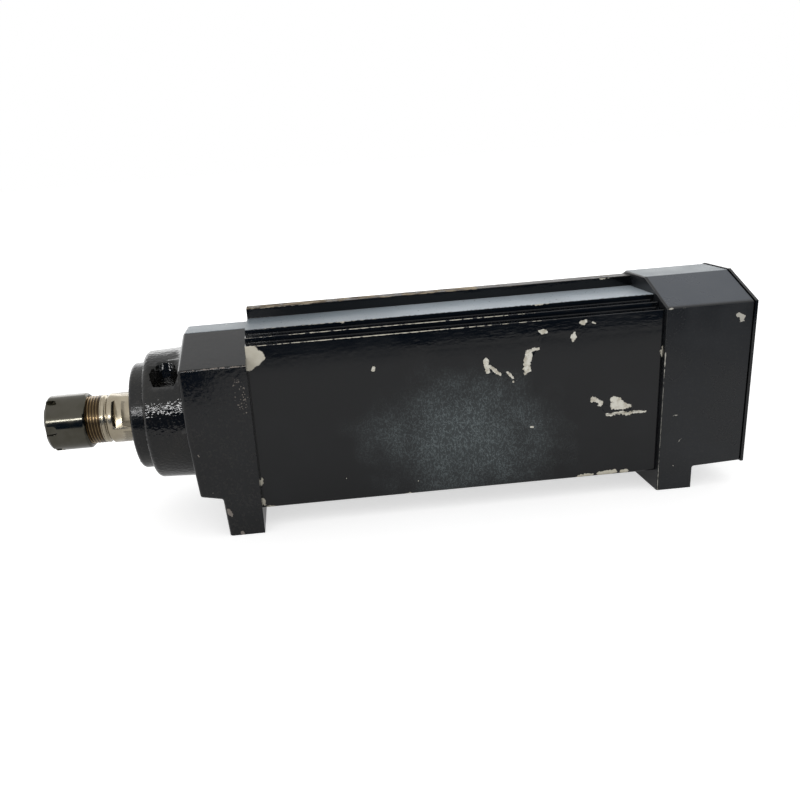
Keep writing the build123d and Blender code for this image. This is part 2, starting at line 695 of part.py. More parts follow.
with BuildPart() as front_cap_screws:
    with BuildSketch(centred(CAP_HEAD_SEAT)):
        with PolarLocations(CAP_SCREW_PITCH_R, 4, start_angle=45):
            Circle(CAP_SCREW_R)
    extrude(amount=CAP_SCREW_GRIP)
    with BuildSketch(centred(CAP_HEAD_SEAT)):
        with PolarLocations(CAP_SCREW_PITCH_R, 4, start_angle=45):
            Circle(CAP_HEAD_R)
    extrude(amount=-CAP_HEAD_LENGTH)
    with BuildSketch(centred(CAP_HEAD_SEAT - CAP_HEAD_LENGTH)):
        with PolarLocations(CAP_SCREW_PITCH_R, 4, start_angle=45):
            RegularPolygon(CAP_KEY[0] / 2, 6, major_radius=False)
    extrude(amount=CAP_KEY[1], mode=Mode.SUBTRACT)

front_cap_screws.part.label = "front_cap_screws"
export_step(front_cap_screws.part, "parts/front_cap_screws.step")

with BuildPart() as port_plug:
    with BuildSketch(Plane.XY.offset(PORT_FLOOR)):
        with Locations((BOSS_FACE + PORT_SETBACK, PORT_Y)):
            Circle(PORT_R)
    extrude(amount=-PORT_DEPTH)
    with BuildSketch(Plane.XY.offset(PORT_FLOOR)):
        with Locations((BOSS_FACE + PORT_SETBACK, PORT_Y)):
            RegularPolygon(PLUG_KEY[0] / 2, 6, major_radius=False)
    extrude(amount=-PLUG_KEY[1], mode=Mode.SUBTRACT)

port_plug.part.label = "port_plug"
export_step(port_plug.part, "parts/port_plug.step")


# --- bearings ----------------------------------------------------------------------
def ring_profile(start, bearing, inner):
    """Half section of one race: a rectangle with the ball groove cut from it."""
    width = bearing["width"]
    wall = (bearing["outer"] - bearing["bore"]) * RACE_SHARE
    low = bearing["bore"] if inner else bearing["outer"] - wall
    pitch_r = (bearing["bore"] + bearing["outer"]) / 2
    with Locations((start + width / 2, low + wall / 2)):
        Rectangle(width, wall)
    with Locations((start + width / 2, pitch_r)):
        Circle(bearing["ball"] + RACE_GAP, mode=Mode.SUBTRACT)


for prefix, bearing, starts in (
    ("front_bearing", FRONT_BEARING, (BEARING_FRONT, SECOND_BEARING)),
    ("rear_bearing", REAR_BEARING, (REAR_BEARING_FRONT,)),
):
    for race, inner in (("outer_ring", False), ("inner_ring", True)):
        with BuildPart() as rings:
            for start in starts:
                with BuildSketch(HALF):
                    ring_profile(start, bearing, inner)
                revolve(axis=SPINDLE)
        rings.part.label = f"{prefix}_{race}" + ("s" if len(starts) > 1 else "")
        export_step(rings.part, f"parts/{rings.part.label}.step")
    with BuildPart() as balls:
        for start in starts:
            with Locations(centred(start + bearing["width"] / 2)):
                with PolarLocations((bearing["bore"] + bearing["outer"]) / 2, bearing["balls"]):
                    Sphere(bearing["ball"])
    balls.part.label = f"{prefix}_balls"
    export_step(balls.part, f"parts/{balls.part.label}.step")

for name, low in (
    ("outer_bearing_spacer", FRONT_BEARING["outer"] - FRONT_RACE_WALL),
    ("inner_bearing_spacer", FRONT_BEARING["bore"]),
):
    with BuildPart() as spacer:
        with BuildSketch(HALF):
            with Locations((SPACER_FRONT + SPACER_WIDTH / 2, low + FRONT_RACE_WALL / 2)):
                Rectangle(SPACER_WIDTH, FRONT_RACE_WALL)
        revolve(axis=SPINDLE)
    spacer.part.label = name
    export_step(spacer.part, f"parts/{name}.step")

with BuildPart() as bearing_locknut:
    with BuildSketch(centred(BEARING_REAR)):
        Circle(LOCKNUT_R)
        Circle(FRONT_BEARING["bore"], mode=Mode.SUBTRACT)
        with PolarLocations(LOCKNUT_R, 4):
            Rectangle(LOCKNUT_SLOT, LOCKNUT_SLOT, mode=Mode.SUBTRACT)
    extrude(amount=LOCKNUT_LENGTH)

bearing_locknut.part.label = "bearing_locknut"
export_step(bearing_locknut.part, "parts/bearing_locknut.step")

with BuildPart() as preload_spring:
    with BuildSketch(HALF):
        with BuildLine():
            Polyline(
                (REAR_BEARING_FRONT - SPRING_ROOM, SPRING_R[0]),
                (REAR_BEARING_FRONT - SPRING_ROOM + SPRING_THICKNESS, SPRING_R[0]),
                (REAR_BEARING_FRONT, SPRING_R[1]),
                (REAR_BEARING_FRONT - SPRING_THICKNESS, SPRING_R[1]),
                close=True,
            )
        make_face()
    revolve(axis=SPINDLE)

preload_spring.part.label = "preload_spring"
export_step(preload_spring.part, "parts/preload_spring.step")

# --- spindle shaft: nose with taper socket, thread seat and spanner flats ----------
with BuildPart() as spindle_shaft:
    with BuildSketch(HALF):
        with BuildLine():
            Polyline(
                (SHAFT_FACE, SOCKET_MOUTH_R),
                (SHAFT_FACE, THREAD_R - THREAD_LEAD_IN),
                (SHAFT_FACE + THREAD_LEAD_IN, THREAD_R),
                (THREAD_END - THREAD_RELIEF, THREAD_R),
                (THREAD_END - THREAD_RELIEF + RELIEF_DEPTH / 2, THREAD_R - RELIEF_DEPTH),
                (THREAD_END - THREAD_COLLAR - RELIEF_DEPTH / 2, THREAD_R - RELIEF_DEPTH),
                (THREAD_END - THREAD_COLLAR, THREAD_R),
                (THREAD_END - COLLET_SETBACK, THREAD_R),
                (THREAD_END, UNDERCUT_R),
                (THREAD_END + UNDERCUT_LENGTH, UNDERCUT_R),
                (THREAD_END + NOSE_CONE, SHAFT_NOSE_R),
                (CAP_FACE + FLANGE_SETBACK, SHAFT_NOSE_R),
                (CAP_FACE + FLANGE_SETBACK, LABYRINTH_R),
                (BOSS_FACE - FLANGE_GAP, LABYRINTH_R),
                (BEARING_FRONT, FRONT_BEARING["bore"] + FRONT_RACE_WALL),
                (BEARING_FRONT, FRONT_BEARING["bore"]),
                (LOCKNUT_REAR, FRONT_BEARING["bore"]),
                (LOCKNUT_REAR, FRONT_BEARING["bore"] - SHAFT_RELIEF),
                (STACK_FRONT - END_RING[2], FRONT_BEARING["bore"] - SHAFT_RELIEF),
                (STACK_FRONT - END_RING[2], ROTOR_SEAT_R),
                (STACK_REAR + END_RING[2], ROTOR_SEAT_R),
                (STACK_REAR + END_RING[2], ROTOR_SEAT_R - SHAFT_RELIEF),
                (REAR_BEARING_FRONT, ROTOR_SEAT_R - SHAFT_RELIEF),
                (REAR_BEARING_FRONT, REAR_BEARING["bore"]),
                (REAR_BEARING_REAR, REAR_BEARING["bore"]),
                (REAR_BEARING_REAR, CIRCLIP_SEAT_R),
                (REAR_BEARING_REAR + CIRCLIP_WIDTH, CIRCLIP_SEAT_R),
                (REAR_BEARING_REAR + CIRCLIP_WIDTH, REAR_BEARING["bore"]),
                (SHAFT_TAIL - SHAFT_TAIL_CHAMFER, REAR_BEARING["bore"]),
                (SHAFT_TAIL, REAR_BEARING["bore"] - SHAFT_TAIL_CHAMFER),
                (SHAFT_TAIL, 0),
                (SOCKET_END + DRILL_LENGTH[1], 0),
                (SOCKET_END + DRILL_LENGTH[0], SOCKET_END_R - DRAWBAR_R_STEP),
                (SOCKET_END, SOCKET_END_R - DRAWBAR_R_STEP),
                (SOCKET_END, SOCKET_END_R),
                close=True,
            )
        make_face()
    revolve(axis=SPINDLE)
    # two spanner flats across the ground nose
    flat_dir = (0, -cos(radians(SPANNER_ANGLE)), sin(radians(SPANNER_ANGLE)))
    flats_front = (CAP_FACE - SPANNER_SETBACK, 0, AXIS_HEIGHT)
    with BuildSketch(Plane(origin=flats_front, x_dir=flat_dir, z_dir=(1, 0, 0))):
        Circle(SHAFT_NOSE_R + INSIDE)
        Rectangle(SPANNER_FLATS, 3 * SHAFT_NOSE_R, mode=Mode.SUBTRACT)
    extrude(amount=SPANNER_WIDTH, mode=Mode.SUBTRACT)

spindle_shaft.part.label = "spindle_shaft"
export_step(spindle_shaft.part, "parts/spindle_shaft.step")

with BuildPart() as shaft_circlip:
    with BuildSketch(centred(REAR_BEARING_REAR)):
        Circle(REAR_BEARING["bore"] + CIRCLIP_WALL[1])
        Circle(CIRCLIP_SEAT_R, mode=Mode.SUBTRACT)
        with Locations((0, REAR_BEARING["bore"] + CIRCLIP_WALL[1])):
            Rectangle(CIRCLIP_GAP, 3 * CIRCLIP_WALL[1], mode=Mode.SUBTRACT)
    extrude(amount=CIRCLIP_WIDTH)

shaft_circlip.part.label = "shaft_circlip"
export_step(shaft_circlip.part, "parts/shaft_circlip.step")

# --- rotor and stator --------------------------------------------------------------
with BuildPart() as rotor_core:
    with BuildSketch(centred(STACK_FRONT)):
        Circle(ROTOR_R)
        Circle(ROTOR_SEAT_R, mode=Mode.SUBTRACT)
    extrude(amount=STACK_LENGTH)

rotor_core.part.label = "rotor_core"
export_step(rotor_core.part, "parts/rotor_core.step")

with BuildPart() as rotor_end_rings:
    for start in (STACK_FRONT - END_RING[2], STACK_REAR):
        with BuildSketch(centred(start)):
            Circle(END_RING[1])
            Circle(END_RING[0], mode=Mode.SUBTRACT)
        extrude(amount=END_RING[2])

rotor_end_rings.part.label = "rotor_end_rings"
export_step(rotor_end_rings.part, "parts/rotor_end_rings.step")

slot_depth = STATOR_SLOT_R[1] - STATOR_SLOT_R[0]
slot_middle_r = (STATOR_SLOT_R[0] + STATOR_SLOT_R[1]) / 2
mouth_depth = STATOR_SLOT_R[0] - STATOR_BORE_R
with BuildPart() as stator_core:
    with BuildSketch(centred(STACK_FRONT)):
        Circle(STATOR_R)
        Circle(STATOR_BORE_R, mode=Mode.SUBTRACT)
        with PolarLocations(slot_middle_r, STATOR_SLOTS):
            Rectangle(slot_depth, STATOR_SLOT[0], mode=Mode.SUBTRACT)
        with PolarLocations(STATOR_BORE_R + mouth_depth / 2, STATOR_SLOTS):
            Rectangle(2 * mouth_depth, STATOR_SLOT[1], mode=Mode.SUBTRACT)
    extrude(amount=STACK_LENGTH)

stator_core.part.label = "stator_core"
export_step(stator_core.part, "parts/stator_core.step")

with BuildPart() as stator_windings:
    for start, reach in ((STACK_FRONT, -END_TURN_LENGTH), (STACK_REAR, END_TURN_LENGTH)):
        with BuildSketch(HALF) as end_turn:
            with Locations((start + reach / 2, (STATOR_SLOT_R[0] + END_TURN_R) / 2)):
                Rectangle(END_TURN_LENGTH, END_TURN_R - STATOR_SLOT_R[0])
            outer_corners = end_turn.vertices().filter_by(lambda v: abs(v.X) > STACK_REAR + INSIDE)
            chamfer(outer_corners, END_TURN_EDGE_R)
        revolve(axis=SPINDLE)
    with BuildSketch(centred(STACK_FRONT - INSIDE)):
        with PolarLocations(slot_middle_r, STATOR_SLOTS):
            Rectangle(slot_depth - 2 * WINDING_GAP, STATOR_SLOT[0] - 2 * WINDING_GAP)
    extrude(amount=STACK_LENGTH + 2 * INSIDE)

stator_windings.part.label = "stator_windings"
export_step(stator_windings.part, "parts/stator_windings.step")

# --- collet, collet nut and the eccentric ring that draws the collet out -----------
with BuildPart() as collet:
    with BuildSketch(HALF):
        with BuildLine():
            Polyline(
                (COLLET_FACE, COLLET_BORE_R),
                (COLLET_FACE, COLLET_FACE_R),
                (COLLET_FACE + COLLET_CONE_LENGTH, COLLET_HEAD_R),
                (GROOVE_FRONT, COLLET_HEAD_R),
                (GROOVE_FRONT, COLLET_GROOVE_R),
                (GROOVE_REAR, COLLET_GROOVE_R),
                (GROOVE_REAR, COLLET_R),
                (COLLET_FACE + COLLET_TAPER_START, COLLET_R),
                (COLLET_FACE + COLLET_LENGTH, COLLET_TAIL_R),
                (COLLET_FACE + COLLET_LENGTH, COLLET_BORE_R),
                close=True,
            )
        make_face()
    revolve(axis=SPINDLE)
    # slots from the front and from the back in turn, each stopping short of the other end
    quarter_step = 90 / COLLET_SLOTS
    for start, turn in (
        (COLLET_FACE - COLLET_BRIDGE[0], quarter_step),
        (COLLET_FACE + COLLET_BRIDGE[1], 3 * quarter_step),
    ):
        with BuildSketch(centred(start)):
            with PolarLocations(COLLET_R, COLLET_SLOTS, start_angle=turn):
                Rectangle(*COLLET_SLOT)
        extrude(amount=COLLET_LENGTH, mode=Mode.SUBTRACT)

collet.part.label = "collet"
export_step(collet.part, "parts/collet.step")

with BuildPart() as collet_nut:
    with BuildSketch(HALF):
        with BuildLine():
            Polyline(
                (NUT_FACE, COLLET_FACE_R - COLLET_CONE_INSET),
                (NUT_FACE, NUT_FACE_R),
                (NUT_FACE + NUT_FRONT_CHAMFER, NUT_R),
                (NUT_REAR - NUT_REAR_CHAMFER[0], NUT_R),
                (NUT_REAR, NUT_R - NUT_REAR_CHAMFER[1]),
                (NUT_REAR, THREAD_R + NUT_CLEARANCE + NUT_LEAD_IN),
                (NUT_REAR - NUT_LEAD_IN, THREAD_R + NUT_CLEARANCE),
                (GROOVE_REAR + RING_GAP, THREAD_R + NUT_CLEARANCE),
                (GROOVE_REAR + RING_GAP, RING_POCKET_R),
                (GROOVE_FRONT, RING_POCKET_R),
                (GROOVE_FRONT, COLLET_HEAD_R + CONE_GAP),
                (COLLET_FACE + COLLET_CONE_LENGTH, COLLET_HEAD_R + CONE_GAP),
                (COLLET_FACE, COLLET_FACE_R + CONE_GAP),
                close=True,
            )
        make_face()
    revolve(axis=SPINDLE)
    # hook-spanner slots round the front edge, each with a rounded inner end
    nut_slot_length, nut_slot_width, nut_slot_depth = NUT_SLOT
    for slot in range(NUT_SLOTS):
        angle = 360 * slot / NUT_SLOTS
        outward = (0, cos(radians(angle)), sin(radians(angle)))
        floor_r = NUT_R - nut_slot_depth
        slot_floor = Plane(
            origin=(NUT_FACE, outward[1] * floor_r, AXIS_HEIGHT + outward[2] * floor_r),
            x_dir=(1, 0, 0),
            z_dir=outward,
        )
        with BuildSketch(slot_floor):
            SlotOverall(2 * nut_slot_length, nut_slot_width)
        extrude(amount=2 * nut_slot_depth, mode=Mode.SUBTRACT)

collet_nut.part.label = "collet_nut"
export_step(collet_nut.part, "parts/collet_nut.step")

with BuildPart() as nut_eccentric_ring:
    with BuildSketch(centred(GROOVE_FRONT + RING_GAP)):
        Circle(RING_POCKET_R)
        with Locations((RING_OFFSET, 0)):
            Circle(COLLET_GROOVE_R + RING_GAP + RING_OFFSET, mode=Mode.SUBTRACT)
    extrude(amount=GROOVE_REAR - GROOVE_FRONT - 2 * RING_GAP)

nut_eccentric_ring.part.label = "nut_eccentric_ring"
export_step(nut_eccentric_ring.part, "parts/nut_eccentric_ring.step")

# --- terminal block and cable entry ------------------------------------------------
with BuildPart() as terminal_block:
    with BuildSketch(section(CHAMBER_FRONT)):
        with Locations((0, BLOCK_Z)):
            Rectangle(BLOCK[1], BLOCK[2])
    extrude(amount=BLOCK[0])
    with BuildSketch(section(CHAMBER_FRONT + BLOCK[0])):
        with Locations((0, BLOCK_Z)):
            with GridLocations(TERMINAL_PITCH, 1, TERMINALS, 1):
                Rectangle(TERMINAL_POCKET[0], TERMINAL_POCKET[1])
    extrude(amount=-TERMINAL_POCKET[2], mode=Mode.SUBTRACT)

terminal_block.part.label = "terminal_block"
export_step(terminal_block.part, "parts/terminal_block.step")

with BuildPart() as terminal_screws:
    with BuildSketch(section(CHAMBER_FRONT + BLOCK[0] - TERMINAL_POCKET[2])):
        with Locations((0, BLOCK_Z)):
            with GridLocations(TERMINAL_PITCH, 1, TERMINALS, 1):
                Circle(TERMINAL_SCREW[0])
    extrude(amount=TERMINAL_SCREW[1])

terminal_screws.part.label = "terminal_screws"
export_step(terminal_screws.part, "parts/terminal_screws.step")

with BuildPart() as cable_gland:
    with BuildSketch(across(GLAND_WALL)):
        RegularPolygon(GLAND_FLATS / 2, 6, major_radius=False)
    extrude(amount=GLAND_COLLAR)
    with BuildSketch(across(GLAND_WALL - WALL)):
        Circle(GLAND_THREAD_R)
    extrude(amount=WALL)
    with BuildSketch(across(GLAND_WALL + GLAND_COLLAR)):
        Circle(GLAND_NECK_R)
    extrude(amount=GLAND_NECK)
    with BuildSketch(across(GLAND_WALL - WALL)):
        Circle(GLAND_BORE_R)
    extrude(amount=WALL + GLAND_COLLAR + GLAND_NECK, mode=Mode.SUBTRACT)

cable_gland.part.label = "cable_gland"
export_step(cable_gland.part, "parts/cable_gland.step")

dome_shoulder = GLAND_NUT_SHOULDER + NUT_DOME[0]
dome_end = GLAND_NUT_SHOULDER + NUT_DOME[1]
with BuildPart() as gland_nut:
    with BuildSketch(across(GLAND_NUT_FRONT)):
        RegularPolygon(NUT_FLATS / 2, 6, major_radius=False)
    extrude(amount=NUT_BARREL)
    with BuildSketch(GLAND_HALF):
        with BuildLine():
            Polyline(
                (GLAND_NUT_SHOULDER, 0),
                (GLAND_NUT_SHOULDER, NUT_DOME_R[0]),
                (dome_shoulder, NUT_DOME_R[1]),
                (dome_end, NUT_DOME_R[2]),
                (dome_end, 0),
                close=True,
            )
        make_face()
    revolve(axis=GLAND_LINE)
    with BuildSketch(GLAND_HALF):
        with BuildLine():
            Polyline(
                (GLAND_NUT_FRONT, 0),
                (GLAND_NUT_FRONT, GLAND_NECK_R),
                (GLAND_NUT_SHOULDER, GLAND_NECK_R),
                (dome_shoulder, NUT_MOUTH_R[0]),
                (dome_end, NUT_MOUTH_R[1]),
                (dome_end, 0),
                close=True,
            )
        make_face()
    revolve(axis=GLAND_LINE, mode=Mode.SUBTRACT)

gland_nut.part.label = "gland_nut"
export_step(gland_nut.part, "parts/gland_nut.step")

seal_front = GLAND_WALL + GLAND_COLLAR
with BuildPart() as gland_seal:
    with BuildSketch(GLAND_HALF):
        with BuildLine():
            Polyline(
                (seal_front, CABLE_R),
                (seal_front, SEAL_R[0]),
                (seal_front + GLAND_NECK, SEAL_R[0]),
                (seal_front + GLAND_NECK, SEAL_R[1]),
                (seal_front + SEAL_ENDS[0], SEAL_R[1]),
                (seal_front + SEAL_ENDS[1], SEAL_R[2]),
                (seal_front + SEAL_ENDS[1], CABLE_R),
                close=True,
            )
        make_face()
    revolve(axis=GLAND_LINE)

gland_seal.part.label = "gland_seal"
export_step(gland_seal.part, "parts/gland_seal.step")
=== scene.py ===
"""Looks of a foot-mounted motor spindle: black enamelled castings and body, bright steel nose."""

import logging
from collections.abc import Callable
from dataclasses import dataclass
from enum import Enum
from functools import cached_property
from math import cos, pi, radians, sin

import bmesh
import bpy
from mathutils import Matrix, Vector, noise


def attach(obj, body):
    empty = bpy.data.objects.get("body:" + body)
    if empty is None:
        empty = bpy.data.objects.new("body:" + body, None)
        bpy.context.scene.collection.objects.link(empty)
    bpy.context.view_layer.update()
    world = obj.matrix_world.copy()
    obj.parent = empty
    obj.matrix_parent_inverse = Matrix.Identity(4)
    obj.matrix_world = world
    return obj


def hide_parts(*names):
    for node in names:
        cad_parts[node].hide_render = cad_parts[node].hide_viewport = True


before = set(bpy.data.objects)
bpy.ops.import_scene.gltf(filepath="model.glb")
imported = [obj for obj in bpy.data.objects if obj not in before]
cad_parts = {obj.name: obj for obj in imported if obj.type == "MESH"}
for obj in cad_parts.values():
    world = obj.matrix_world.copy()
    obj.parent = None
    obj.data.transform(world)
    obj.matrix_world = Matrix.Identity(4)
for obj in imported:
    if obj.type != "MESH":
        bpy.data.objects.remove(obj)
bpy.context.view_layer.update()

Socket = bpy.types.NodeSocket
Material = bpy.types.Material
Mesh = bmesh.types.BMesh
Point = tuple[float, float, float]

MM = 0.001
# Lengths in mm, angles in degrees.
AXIS_HEIGHT = 54.0
MERGE_DISTANCE = 0.002
FLAT_ANGLE = 0.3
SHARP_ANGLE = 38.0
WHITE = (1.0, 1.0, 1.0, 1.0)
SMOOTH = {"interpolation_type": "SMOOTHSTEP"}
COLOURS = {"data_type": "RGBA", "result": 2}
LOG = logging.getLogger("spindle")


class Body(Enum):
    """The bodies that the remade pieces ride on."""

    HOUSING = "housing"
    SPINDLE = "spindle"
    NUT = "nut"


def linear(hex_colour: str) -> tuple[float, float, float, float]:
    """Turn an sRGB hex colour into linear red, green, blue and alpha.

    Args:
        hex_colour: six hex digits, such as "1a1b1d".

    Returns:
        The colour that a shader socket takes.
    """
    channels = [int(hex_colour[i : i + 2], 16) / 255 for i in (0, 2, 4)]
    curve = [c / 12.92 if c <= 0.04045 else ((c + 0.055) / 1.055) ** 2.4 for c in channels]
    return (*curve, 1.0)


class Graph:
    """The node tree of a material or of the world, built one node at a time."""

    def __init__(self, owner: Material | bpy.types.World) -> None:
        """Empty the owner's node tree.

        Args:
            owner: the material or the world.
        """
        owner.use_nodes = True
        self.owner = owner
        self.tree = owner.node_tree
        self.tree.nodes.clear()

    @cached_property
    def mm(self) -> Socket:
        """Position on the object in mm, added when it is first asked for."""
        place = self.add("TexCoord", result="Object")
        return self.add("VectorMath", {0: place, "Scale": 1 / MM}, operation="SCALE")

    def add(self, kind: str, *inputs: object, result: int | str = 0, **settings: str) -> Socket | None:
        """Add one node with its settings and links.

        Args:
            kind: the node's type, without its "ShaderNode" prefix.
            inputs: a value or an output socket for each input in turn, or one dictionary of them.
            result: the output to hand back, by name or number.
            settings: the node's own properties.

        Returns:
            The chosen output socket, or None from a node without outputs.
        """
        new = self.tree.nodes.new("ShaderNode" + kind)
        for key, value in settings.items():
            setattr(new, key, value)
        named = inputs[0] if inputs and isinstance(inputs[0], dict) else dict(enumerate(inputs))
        for key, value in named.items():
            if isinstance(value, Socket):
                self.tree.links.new(value, new.inputs[key])
            else:
                new.inputs[key].default_value = value
        return new.outputs[result] if new.outputs else None

    def patches(
        self, size: float, detail: float, start: float, end: float, low: float = 0.0, high: float = 1.0
    ) -> Socket:
        """Add patches: noise of a size in mm, turned smoothly from low to high between two levels."""
        cloud = self.add("TexNoise", {"Vector": self.mm, "Scale": 1 / size, "Detail": detail})
        return self.add("MapRange", cloud, start, end, low, high, **SMOOTH)

    def step(self, axis: str, start: float, end: float, low: float = 0.0, high: float = 1.0) -> Socket:
        """Add a smooth step from low to high between two places in mm along one axis."""
        place = self.add("SeparateXYZ", self.mm, result=axis)
        return self.add("MapRange", place, start, end, low, high, **SMOOTH)

    def relief(self, layers: list[tuple[Socket, float]]) -> Socket:
        """Add heights up and turn them into one surface relief.

        Args:
            layers: heights from 0 to 1, each with what a height of 1 stands for in mm.

        Returns:
            The normal.
        """
        total = None
        for height, depth in layers:
            layer = self.add("Math", height, depth, operation="MULTIPLY")
            total = layer if total is None else self.add("Math", total, layer, operation="ADD")
        return self.add("Bump", {"Height": total, "Distance": MM, "Strength": 1.0})

    def finish(self, shader: Socket) -> Material:
        """Link the shader to the material's output and hand back the material."""
        self.add("OutputMaterial", {"Surface": shader})
        return self.owner


@dataclass(frozen=True)
class Flake:
    """A place where the surface is different: an ellipsoid, in mm, that the surface passes through."""

    x: float
    y: float
    z: float
    long: float
    high: float
    turn: float = 0.0
    deep: float = 2.0

    def distance(self, g: Graph, place: Socket) -> Socket:
        """Distance from the flake's centre, which is 1 at its edge.

        Args:
            g: the node tree to add to.
            place: the position in mm.

        Returns:
            The distance.
        """
        inputs = {
            "Vector": place,
            "Location": (self.x, self.y, self.z),
            "Rotation": (0.0, -radians(self.turn), 0.0),
            "Scale": (self.long, self.deep, self.high),
        }
        local = g.add("Mapping", inputs, vector_type="TEXTURE")
        return g.add("VectorMath", local, result="Value", operation="LENGTH")


def nearest(g: Graph, flakes: tuple[Flake, ...], place: Socket) -> Socket:
    """Distance to the nearest of several flakes.

    Args:
        g: the node tree to add to.
        flakes: the flakes.
        place: the position in mm.

    Returns:
        The least distance, which is under 1 inside a flake.
    """
    least = flakes[0].distance(g, place)
    for flake in flakes[1:]:
        least = g.add("Math", least, flake.distance(g, place), operation="MINIMUM")
    return least


@dataclass(frozen=True)
class Chip:
    """A chip in the paint of a flat side: ragged strokes that run together.

    Each stroke is a line of places along X and Z with a half width, in mm.
    """

    strokes: tuple[tuple[Point, ...], ...]
    ragged: float = 0.5
    cell: float = 0.22
    least_area: float = 0.12

    def inside(self, place: Vector) -> float:
        """Measure how far inside the chip a place lies.

        Args:
            place: the place along X and Z, in mm.

        Returns:
            The depth inside its ragged edge, which is negative outside, in mm.
        """
        best = -100.0
        for stroke in self.strokes:
            for (ax, az, first), (bx, bz, last) in zip(stroke, stroke[1:] or stroke):
                start, along = Vector((ax, az)), Vector((bx - ax, bz - az))
                share = (place - start).dot(along) / max(along.length_squared, 1e-6)
                share = min(max(share, 0.0), 1.0)
                away = (place - start - along * share).length
                best = max(best, first + (last - first) * share - away)
        coarse = noise.noise(Vector((place.x, place.y, 3.7)) * 0.9)
        fine = noise.noise(Vector((place.x, place.y, 9.1)) * 1.9)
        return best + self.ragged * (coarse + 0.8 * fine)

    def depths(self) -> tuple[dict[tuple[int, int], tuple[float, Vector]], int, int]:
        """Measure the chip on a fine grid.

        Returns:
            The depth and the place of each grid point, and the grid's cells along X and Z.
        """
        points = [point for stroke in self.strokes for point in stroke]
        reach = max(width for _, _, width in points) + 2 * self.ragged + self.cell
        low = [min(point[axis] for point in points) - reach for axis in (0, 1)]
        high = [max(point[axis] for point in points) + reach for axis in (0, 1)]
        columns, rows = (round((high[axis] - low[axis]) / self.cell) for axis in (0, 1))
        found = {}
        for i in range(columns + 1):
            for j in range(rows + 1):
                place = Vector((low[0] + i * self.cell, low[1] + j * self.cell))
                found[i, j] = (self.inside(place), place)
        return found, columns, rows

    def crossings(self) -> dict[tuple, list]:
        """Find where the chip's edge crosses the grid.

        Returns:
            For each crossed grid line, the place, then the crossed lines that the edge goes on to.
        """
        depth, columns, rows = self.depths()
        following: dict[tuple, list] = {}
        for i in range(columns):
            for j in range(rows):
                corners = [(i, j), (i + 1, j), (i + 1, j + 1), (i, j + 1)]
                cut = []
                for one, other in zip(corners, corners[1:] + corners[:1]):
                    if (depth[one][0] > 0) != (depth[other][0] > 0):
                        cut.append(((min(one, other), max(one, other)), depth[one][0] > 0))
                if len(cut) == 4 and not cut[0][1]:
                    cut = cut[1:] + cut[:1]
                for (leaving, _), (entering, _) in zip(cut[::2], cut[1::2]):
                    following.setdefault(leaving, []).append(entering)
                    following.setdefault(entering, []).append(leaving)
        for (one, other), ends in following.items():
            (first, start), (last, end) = depth[one], depth[other]
            # Kept off the grid's own points, because a rim can't pass one place twice.
            share = min(max(first / (first - last), 0.15), 0.85)
            ends.insert(0, start.lerp(end, share))
        return following

    def rims(self) -> list[list[Vector]]:
        """Go once round each ragged part of the chip.

        Returns:
            The places along each rim.
        """
        following = self.crossings()
        found: list[list[Vector]] = []
        while following:
            key = next(iter(following))
            rim, before = [], None
            while key in following:
                place, *ends = following.pop(key)
                rim.append(place)
                ahead = [end for end in ends if end != before and end in following]
                before = key
                if not ahead:
                    break
                key = ahead[0]
            area = abs(sum(a.x * b.y - b.x * a.y for a, b in zip(rim, rim[1:] + rim[:1]))) / 2
            if area > self.least_area:
                found.append(rim)
        return found


